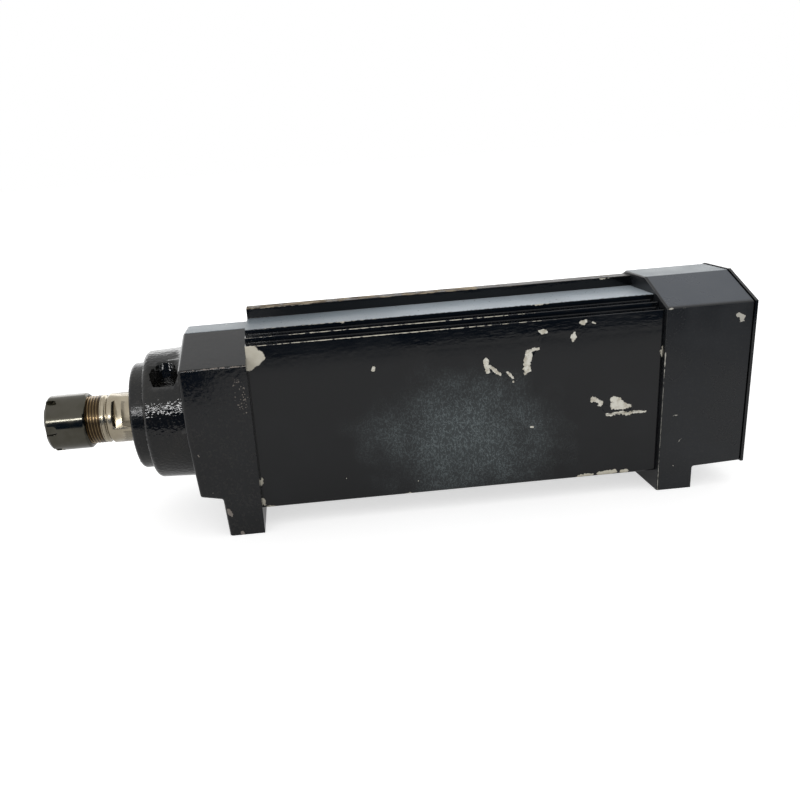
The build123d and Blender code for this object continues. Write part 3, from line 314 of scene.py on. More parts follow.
@dataclass(frozen=True)
class Enamel:
    """Black enamel over a cream filler: glossy, a little wavy, wrinkled where it ran, chipped and rubbed.

    The paint's own colour is nearly black, and what the eye sees is its clear gloss mirroring the room; on
    flat tops, on a chamfer and along some edges the mirrored sky is painted into the colour instead.
    """

    name: str
    colour: str = "090b0e"
    second: str = "101215"
    cloud_size: float = 24.0
    roughness: float = 0.1
    clear_ior: float = 1.42
    wander_size: float = 2.2
    wander: float = 2.9
    wave_size: float = 17.0
    wave_depth: float = 0.03
    peel_size: float = 2.6
    peel_depth: float = 0.012
    lump_size: float = 2.4
    lump_depth: float = 0.0
    lump_detail: float = 2.5
    wrinkled_above: float = 0.0
    wrinkle_size: float = 3.0
    wrinkle_depth: float = 0.07
    filler: str = "ece8da"
    stain: str = "c4bca8"
    filler_depth: float = 0.12
    flakes: tuple[Flake, ...] = ()
    worn: tuple[Flake, ...] = ()
    # Thin pale streaks along edges: partly paint worn through, partly a painted highlight of the rounded
    # edge.
    worn_and_highlight_lines: tuple[Flake, ...] = ()
    line_grain: float = 2.6
    line_spread: float = 0.35
    specks: tuple[Flake, ...] = ()
    hazes: tuple[Flake, ...] = ()
    haze_colour: str = "6a7476"
    haze_floor: float = 0.28
    crease_size: float = 1.3
    crease_depth: float = 0.02
    rubbed_above: float = 0.0
    rubbed_end: float = 0.0
    rubbed_fade: float = 60.0
    rubbed_dark: str = "54493e"
    rubbed_pale: str = "ad9f88"
    rib_colour: str = "3a3836"
    # A pale film on a flat top at this height: partly dust, partly a painted reflection of the sky.
    dust_and_sheen_height: float = 0.0
    dust_and_sheen_near: float = -100.0
    dust_and_sheen_start: str = "7c868d"
    dust_and_sheen_end: str = "b4bec6"
    dust_and_sheen_cloud: str = "6f787f"
    # A paler, bluish colour above this height: a painted reflection of the sky on a chamfer.
    painted_reflection_above: float = 0.0
    painted_reflection_colour: str = "474d55"
    dust: float = 0.0
    dust_colour: str = "8a8377"

    def wrinkles(self, g: Graph) -> Socket:
        """Runs and wrinkles along the upper edge of a painted side.

        Args:
            g: the node tree to add to.

        Returns:
            Their height.
        """
        high = g.step("Z", self.wrinkled_above, self.wrinkled_above + 5.0)
        share = g.add("Math", high, g.step("X", -40.0, 30.0, 0.35), operation="MULTIPLY")
        long = g.add("Mapping", {"Vector": g.mm, "Scale": (0.5, 1.0, 1.5)}, vector_type="POINT")
        folds = g.add("TexNoise", {"Vector": long, "Scale": 1 / self.wrinkle_size, "Detail": 3.0})
        return g.add("Math", folds, share, operation="MULTIPLY")

    def haze(self, g: Graph, place: Socket) -> tuple[Socket, Socket]:
        """A dull patch of fine creases where the gloss has weathered.

        Args:
            g: the node tree to add to.
            place: the position in mm, wandering a little.

        Returns:
            How dull the paint is, and the share of it that the creases show.
        """
        edge = g.patches(18.0, 3.0, 0.3, 0.7, -0.15, 0.15)
        broken = g.add("Math", nearest(g, self.hazes, place), edge, operation="ADD")
        haze = g.add("MapRange", broken, 0.1, 1.15, 1.0, 0.0, **SMOOTH)
        leaning = {"Vector": place, "Rotation": (0.0, radians(35), 0.0), "Scale": (1.0, 1.0, 0.55)}
        along = g.add("Mapping", leaning, vector_type="POINT")
        folds = g.add("TexNoise", {"Vector": along, "Scale": 1 / self.crease_size, "Detail": 2.0})
        crease = g.add("Math", g.add("Math", folds, 0.5, operation="SUBTRACT"), operation="ABSOLUTE")
        grain = g.add("MapRange", crease, 0.0, 0.055, 1.0, self.haze_floor, **SMOOTH)
        return haze, g.add("Math", haze, grain, operation="MULTIPLY")

    def chipped(self, g: Graph, place: Socket) -> list[Socket]:
        """Where the filler colour shows: chips at the edges, worn places, thin streaks along edges that are
        partly worn paint and partly a painted highlight, and specks.

        Args:
            g: the node tree to add to.
            place: the position in mm, wandering a little.

        Returns:
            The share of bare filler from each kind of wear that this enamel has.
        """
        bare_and_highlight = []
        if self.flakes:
            near = nearest(g, self.flakes, place)
            bare_and_highlight.append(g.add("MapRange", near, 0.97, 1.05, 1.0, 0.0, **SMOOTH))
        for flakes, spread, edge in (
            (self.worn, (3.4, 5.0, 0.36, 0.6, 0.45, -0.3), (0.85, 1.0)),
            (self.worn_and_highlight_lines, (self.line_grain, 4.0, 0.34, 0.62, self.line_spread, -0.35), (0.9, 1.05)),
        ):
            if flakes:
                near = g.add("Math", nearest(g, flakes, g.mm), g.patches(*spread), operation="ADD")
                bare_and_highlight.append(g.add("MapRange", near, *edge, 1.0, 0.0, **SMOOTH))
        if self.specks:
            limit = g.add("MapRange", nearest(g, self.specks, g.mm), 0.55, 1.0, 0.0, 0.3, **SMOOTH)
            grain = g.add("TexNoise", {"Vector": g.mm, "Scale": 1 / 0.8, "Detail": 2.0})
            fine = g.add("Math", grain, limit, operation="SUBTRACT")
            bare_and_highlight.append(g.add("MapRange", fine, 0.61, 0.66, **SMOOTH))
        return bare_and_highlight

    def rubbed_top(self, g: Graph) -> tuple[Socket, Socket, Socket]:
        """Paint rubbed off the narrow top of the rib in streaks, most of all towards the nose.

        Args:
            g: the node tree to add to.

        Returns:
            The share that is rubbed, the colour under it, and the share of the rib's top.
        """
        top = g.step("Z", self.rubbed_above, self.rubbed_above + 0.15)
        along = g.add("Mapping", {"Vector": g.mm, "Scale": (0.28, 1.0, 1.0)}, vector_type="POINT")
        streaks = g.add("TexNoise", {"Vector": along, "Scale": 1 / 1.3, "Detail": 4.0})
        fade = g.step("X", self.rubbed_end - self.rubbed_fade, self.rubbed_end, 0.4, 0.66)
        limit = g.add("Math", fade, g.patches(14.0, 2.0, 0.35, 0.65, 0.12, -0.1), operation="ADD")
        over = g.add("Math", streaks, limit, operation="SUBTRACT")
        share = g.add("Math", g.add("MapRange", over, 0.0, 0.07, **SMOOTH), top, operation="MULTIPLY")
        tone = g.add("TexNoise", {"Vector": along, "Scale": 1 / 2.4, "Detail": 3.0})
        tone = g.add("MapRange", tone, 0.38, 0.62, **SMOOTH)
        under = {0: tone, 6: linear(self.rubbed_dark), 7: linear(self.rubbed_pale)}
        return share, g.add("Mix", under, **COLOURS), top

    def dust_and_sheen(self, g: Graph) -> tuple[Socket, Socket]:
        """A pale film on a flat top, nicked along its near edge: partly dust, and partly a painted
        reflection of the bright sky that the top would mirror.

        Args:
            g: the node tree to add to.

        Returns:
            The share of the pale film, and its colour of dust and painted reflection.
        """
        offset = g.add("SeparateXYZ", g.mm, result="Z")
        offset = g.add("Math", offset, self.dust_and_sheen_height, operation="SUBTRACT")
        level = g.add("Math", offset, operation="ABSOLUTE")
        flat = g.add("MapRange", level, 0.04, 0.2, 1.0, 0.0, **SMOOTH)
        nicks = g.step("Y", self.dust_and_sheen_near, self.dust_and_sheen_near + 1.6, 0.17, 0.0)
        grain = g.add("TexNoise", {"Vector": g.mm, "Scale": 1 / 1.5, "Detail": 4.0})
        holes = g.add("Math", grain, nicks, operation="SUBTRACT")
        gaps = g.add("MapRange", holes, 0.28, 0.36, 0.2, 0.93, **SMOOTH)
        share = g.add("Math", flat, gaps, operation="MULTIPLY")
        ends = {0: g.step("X", -90.0, 0.0), 6: linear(self.dust_and_sheen_start), 7: linear(self.dust_and_sheen_end)}
        cloudy = g.patches(self.cloud_size, 3.0, 0.3, 0.7, 0.0, 0.25)
        dust_and_sheen_colour = {0: cloudy, 6: g.add("Mix", ends, **COLOURS), 7: linear(self.dust_and_sheen_cloud)}
        return share, g.add("Mix", dust_and_sheen_colour, **COLOURS)

    def skin(self, g: Graph) -> list[tuple[Socket, float]]:
        """The paint's orange peel, its slow waves, lumps of a rough casting and runs.

        Args:
            g: the node tree to add to.

        Returns:
            Heights from 0 to 1, each with what a height of 1 stands for in mm.
        """
        layers = []
        for size, detail, depth in (
            (self.peel_size, 1.5, self.peel_depth),
            (self.wave_size, 1.0, self.wave_depth),
            (self.lump_size, self.lump_detail, self.lump_depth),
        ):
            if depth:
                bumps = g.add("TexNoise", {"Vector": g.mm, "Scale": 1 / size, "Detail": detail})
                layers.append((bumps, depth))
        if self.wrinkled_above:
            layers.append((self.wrinkles(g), self.wrinkle_depth))
        return layers

    def dirt(self, g: Graph) -> Socket:
        """The filler's colour with grime in it, for the chips and worn places, and for the edge streaks
        that are partly a painted highlight.
        """
        grime = g.add("TexNoise", {"Vector": g.mm, "Scale": 1 / 4.0, "Detail": 4.0})
        return g.add("Mix", {0: grime, 6: linear(self.filler), 7: linear(self.stain)}, **COLOURS)

    def wandering(self, g: Graph) -> Socket:
        """The position in mm, moved about a little so that edges drawn with it are ragged.

        Args:
            g: the node tree to add to.

        Returns:
            The position.
        """
        cloud = {"Vector": g.mm, "Scale": 1 / self.wander_size, "Detail": 3.0}
        shift = g.add("TexNoise", cloud, result="Color")
        shift = g.add("VectorMath", shift, (0.5, 0.5, 0.5), operation="SUBTRACT")
        shift = g.add("VectorMath", {0: shift, "Scale": self.wander}, operation="SCALE")
        return g.add("VectorMath", g.mm, shift, operation="ADD")

    def make(self) -> Material:
        """Build the enamel's material.

        Returns:
            The material.
        """
        g = Graph(bpy.data.materials.new(self.name))
        place = self.wandering(g)
        tone = g.patches(self.cloud_size, 3.0, 0.35, 0.7)
        colour = g.add("Mix", {0: tone, 6: linear(self.colour), 7: linear(self.second)}, **COLOURS)
        roughness = g.patches(self.cloud_size, 3.0, 0.3, 0.7, self.roughness * 0.8, self.roughness * 1.35)
        layers = self.skin(g)
        if self.hazes:
            haze, share = self.haze(g, place)
            layers.append((share, self.crease_depth))
            colour = g.add("Mix", {0: share, 6: colour, 7: linear(self.haze_colour)}, **COLOURS)
            more = g.add("Math", haze, 0.1, operation="MULTIPLY")
            roughness = g.add("Math", roughness, more, operation="ADD")
        # Painted reflection: above a height and past the front edge, the colour turns paler and bluish, as
        # if the chamfer mirrored the sky.
        if self.painted_reflection_above:
            above = g.step("Z", self.painted_reflection_above, self.painted_reflection_above + 0.8)
            share = g.add("Math", above, g.step("X", 101.7, 102.3), operation="MULTIPLY")
            colour = g.add("Mix", {0: share, 6: colour, 7: linear(self.painted_reflection_colour)}, **COLOURS)
        if self.dust:
            share = g.patches(1.1, 4.0, 0.5, 0.72, 0.0, self.dust)
            colour = g.add("Mix", {0: share, 6: colour, 7: linear(self.dust_colour)}, **COLOURS)
            roughness = g.add("Math", roughness, share, operation="ADD")
        # The filler colour fills chips and worn places, and the thin streaks along edges, where it is
        # partly a painted highlight.
        bare_and_highlight = None
        for pale_mark in self.chipped(g, place):
            bare_and_highlight = pale_mark if bare_and_highlight is None else g.add("Math", bare_and_highlight, pale_mark, operation="MAXIMUM")
        if bare_and_highlight is not None:
            colour = g.add("Mix", {0: bare_and_highlight, 6: colour, 7: self.dirt(g)}, **COLOURS)
        if self.rubbed_above:
            share, under, top = self.rubbed_top(g)
            colour = g.add("Mix", {0: top, 6: colour, 7: linear(self.rib_colour)}, **COLOURS)
            colour = g.add("Mix", {0: share, 6: colour, 7: under}, **COLOURS)
            bare_and_highlight = share if bare_and_highlight is None else g.add("Math", bare_and_highlight, share, operation="MAXIMUM")
        # Painted reflection, partly dust: the pale film on a flat top stands in for the mirrored sky, and
        # the gloss there is turned down.
        if self.dust_and_sheen_height:
            dust_and_sheen, dust_and_sheen_colour = self.dust_and_sheen(g)
            colour = g.add("Mix", {0: dust_and_sheen, 6: colour, 7: dust_and_sheen_colour}, **COLOURS)
            more = g.add("Math", dust_and_sheen, 0.3, operation="MULTIPLY")
            roughness = g.add("Math", roughness, more, operation="ADD")
            shine = g.add("MapRange", dust_and_sheen, 0.0, 1.0, 0.5, 0.12, **SMOOTH)
        else:
            shine = g.patches(self.cloud_size, 3.0, 0.0, 1.0, 0.48, 0.52)
        if self.rubbed_above:
            less = g.add("MapRange", top, 0.0, 1.0, 1.0, 0.2, **SMOOTH)
            shine = g.add("Math", shine, less, operation="MULTIPLY")
            more = g.add("Math", top, 0.3, operation="MULTIPLY")
            roughness = g.add("Math", roughness, more, operation="ADD")
        if bare_and_highlight is not None:
            more = g.add("Math", bare_and_highlight, 0.4, operation="MULTIPLY")
            roughness = g.add("Math", roughness, more, operation="ADD")
            less = g.add("MapRange", bare_and_highlight, 0.0, 1.0, 1.0, 0.3, **SMOOTH)
            shine = g.add("Math", shine, less, operation="MULTIPLY")
            layers.append((g.add("Math", 1.0, bare_and_highlight, operation="SUBTRACT"), self.filler_depth))
        inputs = {"Base Color": colour, "Roughness": roughness, "Normal": g.relief(layers)}
        inputs |= {"IOR": self.clear_ior, "Specular IOR Level": shine}
        return g.finish(g.add("BsdfPrincipled", inputs))


@dataclass(frozen=True)
class Filler:
    """The cream polyester filler that shows in the chips: chalky and dull, with grime in its pores."""

    name: str = "cream_filler_in_chips"
    colour: str = "f4f1e4"
    stain: str = "cfc8b6"
    grime: str = "a79f8d"
    roughness: float = 0.6

    def make(self) -> Material:
        """Build the filler's material.

        Returns:
            The material.
        """
        g = Graph(bpy.data.materials.new(self.name))
        stains = g.patches(2.6, 4.0, 0.42, 0.68)
        pores = g.patches(0.9, 3.0, 0.58, 0.72, 0.0, 0.6)
        colour = g.add("Mix", {0: stains, 6: linear(self.colour), 7: linear(self.stain)}, **COLOURS)
        colour = g.add("Mix", {0: pores, 6: colour, 7: linear(self.grime)}, **COLOURS)
        chalk = g.add("TexNoise", {"Vector": g.mm, "Scale": 1 / 0.7, "Detail": 3.0})
        inputs = {"Base Color": colour, "Roughness": self.roughness, "Normal": g.relief([(chalk, 0.03)])}
        return g.finish(g.add("BsdfPrincipled", inputs))


@dataclass(frozen=True)
class Metal:
    """A machined metal: a mirror-like sheen broken by fine rings round the spindle axis, and stained.

    Real turning rings are a few hundredths of a millimetre apart, too fine to show, so they are drawn
    about half a millimetre apart.
    """

    name: str
    colour: str
    second: str
    roughness: float = 0.22
    ring_size: float = 0.5
    ring_depth: float = 0.002
    stain_size: float = 7.0
    stain: float = 0.5
    grain_size: float = 0.6
    grain_depth: float = 0.002

    def make(self) -> Material:
        """Build the metal's material.

        Returns:
            The material.
        """
        g = Graph(bpy.data.materials.new(self.name))
        rings = {"W": g.add("SeparateXYZ", g.mm, result="X"), "Scale": 1 / self.ring_size, "Detail": 2.0}
        rings = g.add("TexNoise", rings, noise_dimensions="1D")
        grain = g.add("TexNoise", {"Vector": g.mm, "Scale": 1 / self.grain_size, "Detail": 2.0})
        share = g.add("Math", g.patches(self.stain_size, 5.0, 0.4, 0.66), self.stain, operation="MULTIPLY")
        colours = {0: share, 6: linear(self.colour), 7: linear(self.second)}
        dull = g.patches(self.stain_size, 5.0, 0.3, 0.7, self.roughness * 0.75, self.roughness * 1.4)
        normal = g.relief([(rings, self.ring_depth), (grain, self.grain_depth)])
        inputs = {"Base Color": g.add("Mix", colours, **COLOURS), "Roughness": dull, "Normal": normal}
        return g.finish(g.add("BsdfPrincipled", inputs | {"Metallic": 1.0}))


@dataclass(frozen=True)
class Moulding:
    """A moulded plastic, rubber or varnish: a soft, dull highlight broken by the grain of its mould."""

    name: str
    colour: str
    second: str
    roughness: float = 0.5
    grain_size: float = 0.5
    grain_depth: float = 0.01

    def make(self) -> Material:
        """Build the moulding's material.

        Returns:
            The material.
        """
        g = Graph(bpy.data.materials.new(self.name))
        grain = g.add("TexNoise", {"Vector": g.mm, "Scale": 1 / self.grain_size, "Detail": 2.0})
        colours = {0: g.patches(9.0, 3.0, 0.35, 0.65), 6: linear(self.colour), 7: linear(self.second)}
        dull = g.patches(9.0, 3.0, 0.3, 0.7, self.roughness * 0.85, self.roughness * 1.15)
        normal = g.relief([(grain, self.grain_depth)])
        inputs = {"Base Color": g.add("Mix", colours, **COLOURS), "Roughness": dull, "Normal": normal}
        return g.finish(g.add("BsdfPrincipled", inputs))


def node_copy(name: str) -> Mesh:
    """Copy a CAD node's mesh, weld its loose triangles and join the flat ones, in mm.

    Args:
        name: the CAD node.

    Returns:
        The copy.
    """
    bm = bmesh.new()
    bm.from_mesh(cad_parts[name].data)
    bmesh.ops.scale(bm, vec=(1 / MM,) * 3, verts=bm.verts)
    bmesh.ops.remove_doubles(bm, verts=bm.verts, dist=MERGE_DISTANCE)
    bmesh.ops.dissolve_degenerate(bm, dist=MERGE_DISTANCE, edges=bm.edges)
    bmesh.ops.dissolve_limit(bm, angle_limit=radians(FLAT_ANGLE), verts=bm.verts, edges=bm.edges)
    return bm


def sharp_edges(bm: Mesh, least: float, inside: Callable[[Vector], bool]) -> list[bmesh.types.BMEdge]:
    """Find the outward edges that are sharper than an angle in degrees and lie in a region."""
    sharp = [e for e in bm.edges if len(e.link_faces) == 2 and e.calc_face_angle_signed() >= radians(least)]
    return [edge for edge in sharp if inside((edge.verts[0].co + edge.verts[1].co) / 2)]


def ease(bm: Mesh, edges: list[bmesh.types.BMEdge], radius: float, segments: int) -> None:
    """Round edges off over a radius in mm."""
    bmesh.ops.bevel(
        bm, geom=edges, offset=radius, offset_type="OFFSET", segments=segments, profile=0.5,
        affect="EDGES", material=-1, clamp_overlap=True,
    )


def cut_chips(bm: Mesh, side: float, chips: tuple[Chip, ...], depth: float) -> None:
    """Sink chips into the flat side that faces -Y, down to the second material.

    Args:
        bm: the mesh, in mm.
        side: where the flat side is, in mm along Y.
        chips: the chips.
        depth: how thick the paint is, in mm.
    """
    flat = {f for f in bm.faces if f.normal.y < -0.999 and abs(f.calc_center_median().y - side) < 0.01}
    border = [e for e in bm.edges if len(flat.intersection(e.link_faces)) == 1]
    bmesh.ops.delete(bm, geom=list(flat), context="FACES")
    rims = []
    for rim in (rim for chip in chips for rim in chip.rims()):
        ring = bmesh.ops.create_circle(bm, segments=len(rim), radius=1.0)["verts"]
        for vertex, place in zip(ring, rim):
            vertex.co = (place.x, side, place.y)
        rims.append([e for e in bm.edges if e.verts[0] in ring and e.verts[1] in ring])
    around = border + [edge for rim in rims for edge in rim]
    bmesh.ops.triangle_fill(bm, edges=around, use_beauty=True, normal=(0, -1, 0))
    for rim in rims:
        filled = bmesh.ops.triangle_fill(bm, edges=rim, use_beauty=True, normal=(0, -1, 0))["geom"]
        inner = [item for item in filled if isinstance(item, bmesh.types.BMFace)]
        sunk = bmesh.ops.extrude_face_region(bm, geom=inner)["geom"]
        corners = [item for item in sunk if isinstance(item, bmesh.types.BMVert)]
        bmesh.ops.translate(bm, vec=(0, depth, 0), verts=corners)
        for item in sunk:
            if isinstance(item, bmesh.types.BMFace):
                item.material_index = 1
        left = [item for item in inner if item.is_valid]
        bmesh.ops.delete(bm, geom=left, context="FACES_ONLY")


def piece(
    bm: Mesh, name: str, body: Body, materials: list[Material], nodes: tuple[str, ...] = ()
) -> None:
    """Make an object of a mesh in mm, dress it and let it ride on its body.

    Args:
        bm: the mesh, in mm, which is used up.
        name: the piece's name.
        body: the body that it rides on.
        materials: its finishes, in the order of the faces' material numbers.
        nodes: the CAD nodes that it stands for.
    """
    bmesh.ops.scale(bm, vec=(MM,) * 3, verts=bm.verts)
    mesh = bpy.data.meshes.new(name)
    bm.to_mesh(mesh)
    bm.free()
    mesh.polygons.foreach_set("use_smooth", [True] * len(mesh.polygons))
    mesh.set_sharp_from_angle(angle=radians(SHARP_ANGLE))
    for material in materials:
        mesh.materials.append(material)
    made = bpy.data.objects.new(name, mesh)
    bpy.context.scene.collection.objects.link(made)
    weighted = made.modifiers.new("even_shading", "WEIGHTED_NORMAL")
    weighted.keep_sharp = True
    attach(made, body.value)
    if nodes:
        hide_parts(*nodes)
    LOG.info("piece %s: %d faces, on %s", name, len(mesh.polygons), body.value)


def dress(finish: Enamel | Metal | Moulding, *names: str) -> None:
    """Give CAD nodes a finish, keeping their own shape.

    Args:
        finish: the finish.
        names: the CAD nodes.
    """
    material = finish.make()
    for name in names:
        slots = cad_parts[name].material_slots
        if not slots:
            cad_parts[name].data.materials.append(material)
        for slot in slots:
            slot.material = material
        LOG.info("node %s: %s", name, material.name)


@dataclass
class MotorBody:
    """The extruded motor body, with the steps, the terrace and the tall rib along its top."""

    near_side: float = -36.0
    side_top: float = 93.6
    step_run: float = 6.4
    step_rise: float = 2.7
    rib_side: float = 4.6
    rib_top: float = 104.4
    paint: float = 0.14
    chips: tuple[Chip, ...] = (
        Chip((
            ((13.8, 76.1, 1.5), (14.1, 73.3, 1.15), (14.6, 70.6, 1.0)),
            ((15.2, 73.4, 0.8), (18.7, 70.6, 1.0), (20.6, 68.8, 0.7)),
        )),
        Chip((
            ((24.1, 69.6, 0.45), (25.3, 68.5, 0.7), (26.5, 67.0, 0.62), (27.1, 66.2, 0.3)),
            ((27.0, 64.5, 0.6),),
        ), 0.3),
        Chip((
            ((34.0, 78.8, 1.1), (34.7, 77.0, 1.9), (34.4, 75.4, 2.0), (34.0, 73.4, 1.7),
             (33.9, 71.5, 1.9), (34.1, 69.9, 1.8), (33.2, 68.3, 0.8)),
            ((34.8, 78.6, 0.8), (37.0, 79.8, 0.8), (39.1, 80.1, 0.8)),
        ), 0.7),
        Chip((((39.8, 88.5, 0.5), (41.6, 88.1, 1.2), (43.1, 87.9, 0.8), (43.8, 88.0, 0.4)),), 0.4),
        Chip((((57.0, 85.8, 0.8), (56.6, 84.1, 1.5), (56.2, 82.7, 0.8)),)),
        Chip((((60.0, 90.9, 0.8), (61.3, 90.7, 1.3), (62.3, 91.2, 0.9)),)),
        Chip((((65.7, 90.6, 0.35), (67.1, 89.8, 0.4)),), 0.15),
        Chip((((67.0, 51.5, 1.5), (68.4, 51.2, 1.1), (70.4, 49.9, 1.0), (71.0, 49.3, 1.6)),), 0.6),
        Chip((
            ((77.6, 50.6, 1.6), (80.6, 50.4, 1.0)),
            ((77.9, 47.4, 2.0), (79.6, 47.9, 3.0), (81.4, 47.4, 2.3), (83.8, 46.4, 1.5), (86.0, 46.4, 0.9)),
            ((74.4, 42.9, 0.6), (76.2, 42.6, 0.8), (79.4, 43.4, 0.8), (82.4, 43.2, 0.8), (85.0, 42.4, 1.0),
             (87.1, 42.9, 0.9), (90.5, 43.0, 0.6), (92.6, 42.7, 0.65), (94.0, 42.9, 0.4)),
        ), 0.5),
        Chip((((35.9, 40.2, 0.4), (37.0, 40.0, 0.5)),), 0.2),
        Chip((((-41.1, 76.6, 0.85), (-40.7, 77.8, 0.8)),), 0.3),
        Chip((((-21.7, 16.8, 0.35),),), 0.1),
        Chip((((-58.0, 22.0, 0.3),),), 0.1),
    )

    def edge_flakes(self) -> tuple[Flake, ...]:
        """Chips that run over the edges of the near side, the steps and the rib.

        Returns:
            The chips, in mm.
        """
        side, run, rise = self.near_side, self.step_run, self.step_rise
        return (
            Flake(-100.6, side, 88.4, 7.9, 5.3, 0, 3.0),
            Flake(-99.6, side, 85.0, 3.4, 3.4),
            Flake(-94.6, side, 87.0, 2.6, 1.3, 25),
            Flake(64.2, side, 10.9, 4.2, 1.1, 4, 4.0),
            Flake(75.6, side, 11.4, 5.2, 1.5, 4, 4.0),
            Flake(84.6, side, 11.2, 2.4, 1.2, 0, 4.0),
            Flake(-97.6, side, 10.1, 2.7, 1.2, 0, 3.0),
            Flake(-26.6, side, 10.0, 1.9, 0.8, 0, 3.0),
            Flake(-100.3, side, 24.5, 0.7, 2.1, -15),
            Flake(-100.5, side, 13.9, 0.6, 2.3, 10),
            Flake(100.7, side, 73.2, 0.5, 2.8),
            Flake(87.5, 5.0, self.rib_top, 3.2, 1.0, 0, 1.0),
            Flake(44.5, side + 2 * run, self.side_top + 2 * rise, 5.0, 0.5, 0, 0.7),
            Flake(-53.5, side + 2 * run, self.side_top + 2 * rise, 1.4, 0.5, 0, 0.6),
            Flake(-68.5, side + run, self.side_top + rise, 1.6, 0.5, 0, 0.6),
        )

    def worn_and_highlight_edges(self) -> tuple[Flake, ...]:
        """The edges where a thin pale streak shows: partly paint worn through, partly a painted highlight
        where the rounded edge would mirror the sky.

        Returns:
            Each streak, in mm.
        """
        side, run, rise = self.near_side, self.step_run, self.step_rise
        return (
            Flake(-34.0, side, self.side_top, 66.0, 0.3, 0, 0.3),
            Flake(-30.0, side + run, self.side_top + rise, 60.0, 0.28, 0, 0.28),
            Flake(-62.0, side + 2 * run, self.side_top + 2 * rise, 36.0, 0.2, 0, 0.2),
            Flake(-84.0, self.rib_side, self.rib_top, 22.0, 0.3, 0, 0.3),
        )

    def build(self) -> None:
        """Make the painted body."""
        bm = node_copy("motor_body")
        cut_chips(bm, self.near_side, self.chips, self.paint)
        # Brushed enamel on extruded aluminium: a deep gloss that mirrors the room almost undisturbed,
        # with runs under the upper edge, a dull creased patch, thin pale streaks along the step edges that
        # are partly worn paint and partly painted highlight, and a pale film on the terrace that is partly
        # dust and partly a painted reflection of the sky.
        enamel = Enamel(
            "black_enamel_on_extruded_aluminium", wrinkled_above=83.5, flakes=self.edge_flakes(),
            worn_and_highlight_lines=self.worn_and_highlight_edges(), hazes=(Flake(3.0, self.near_side, 37.5, 54.0, 37.0, -10, 6.0),),
            rubbed_above=self.rib_top - 0.3, rubbed_end=62.0,
            dust_and_sheen_height=self.side_top + 2 * self.step_rise, dust_and_sheen_near=self.near_side + 2 * self.step_run,
        )
        finishes = [enamel.make(), Filler().make()]
        piece(bm, "motor_body_painted", Body.HOUSING, finishes, ("motor_body",))


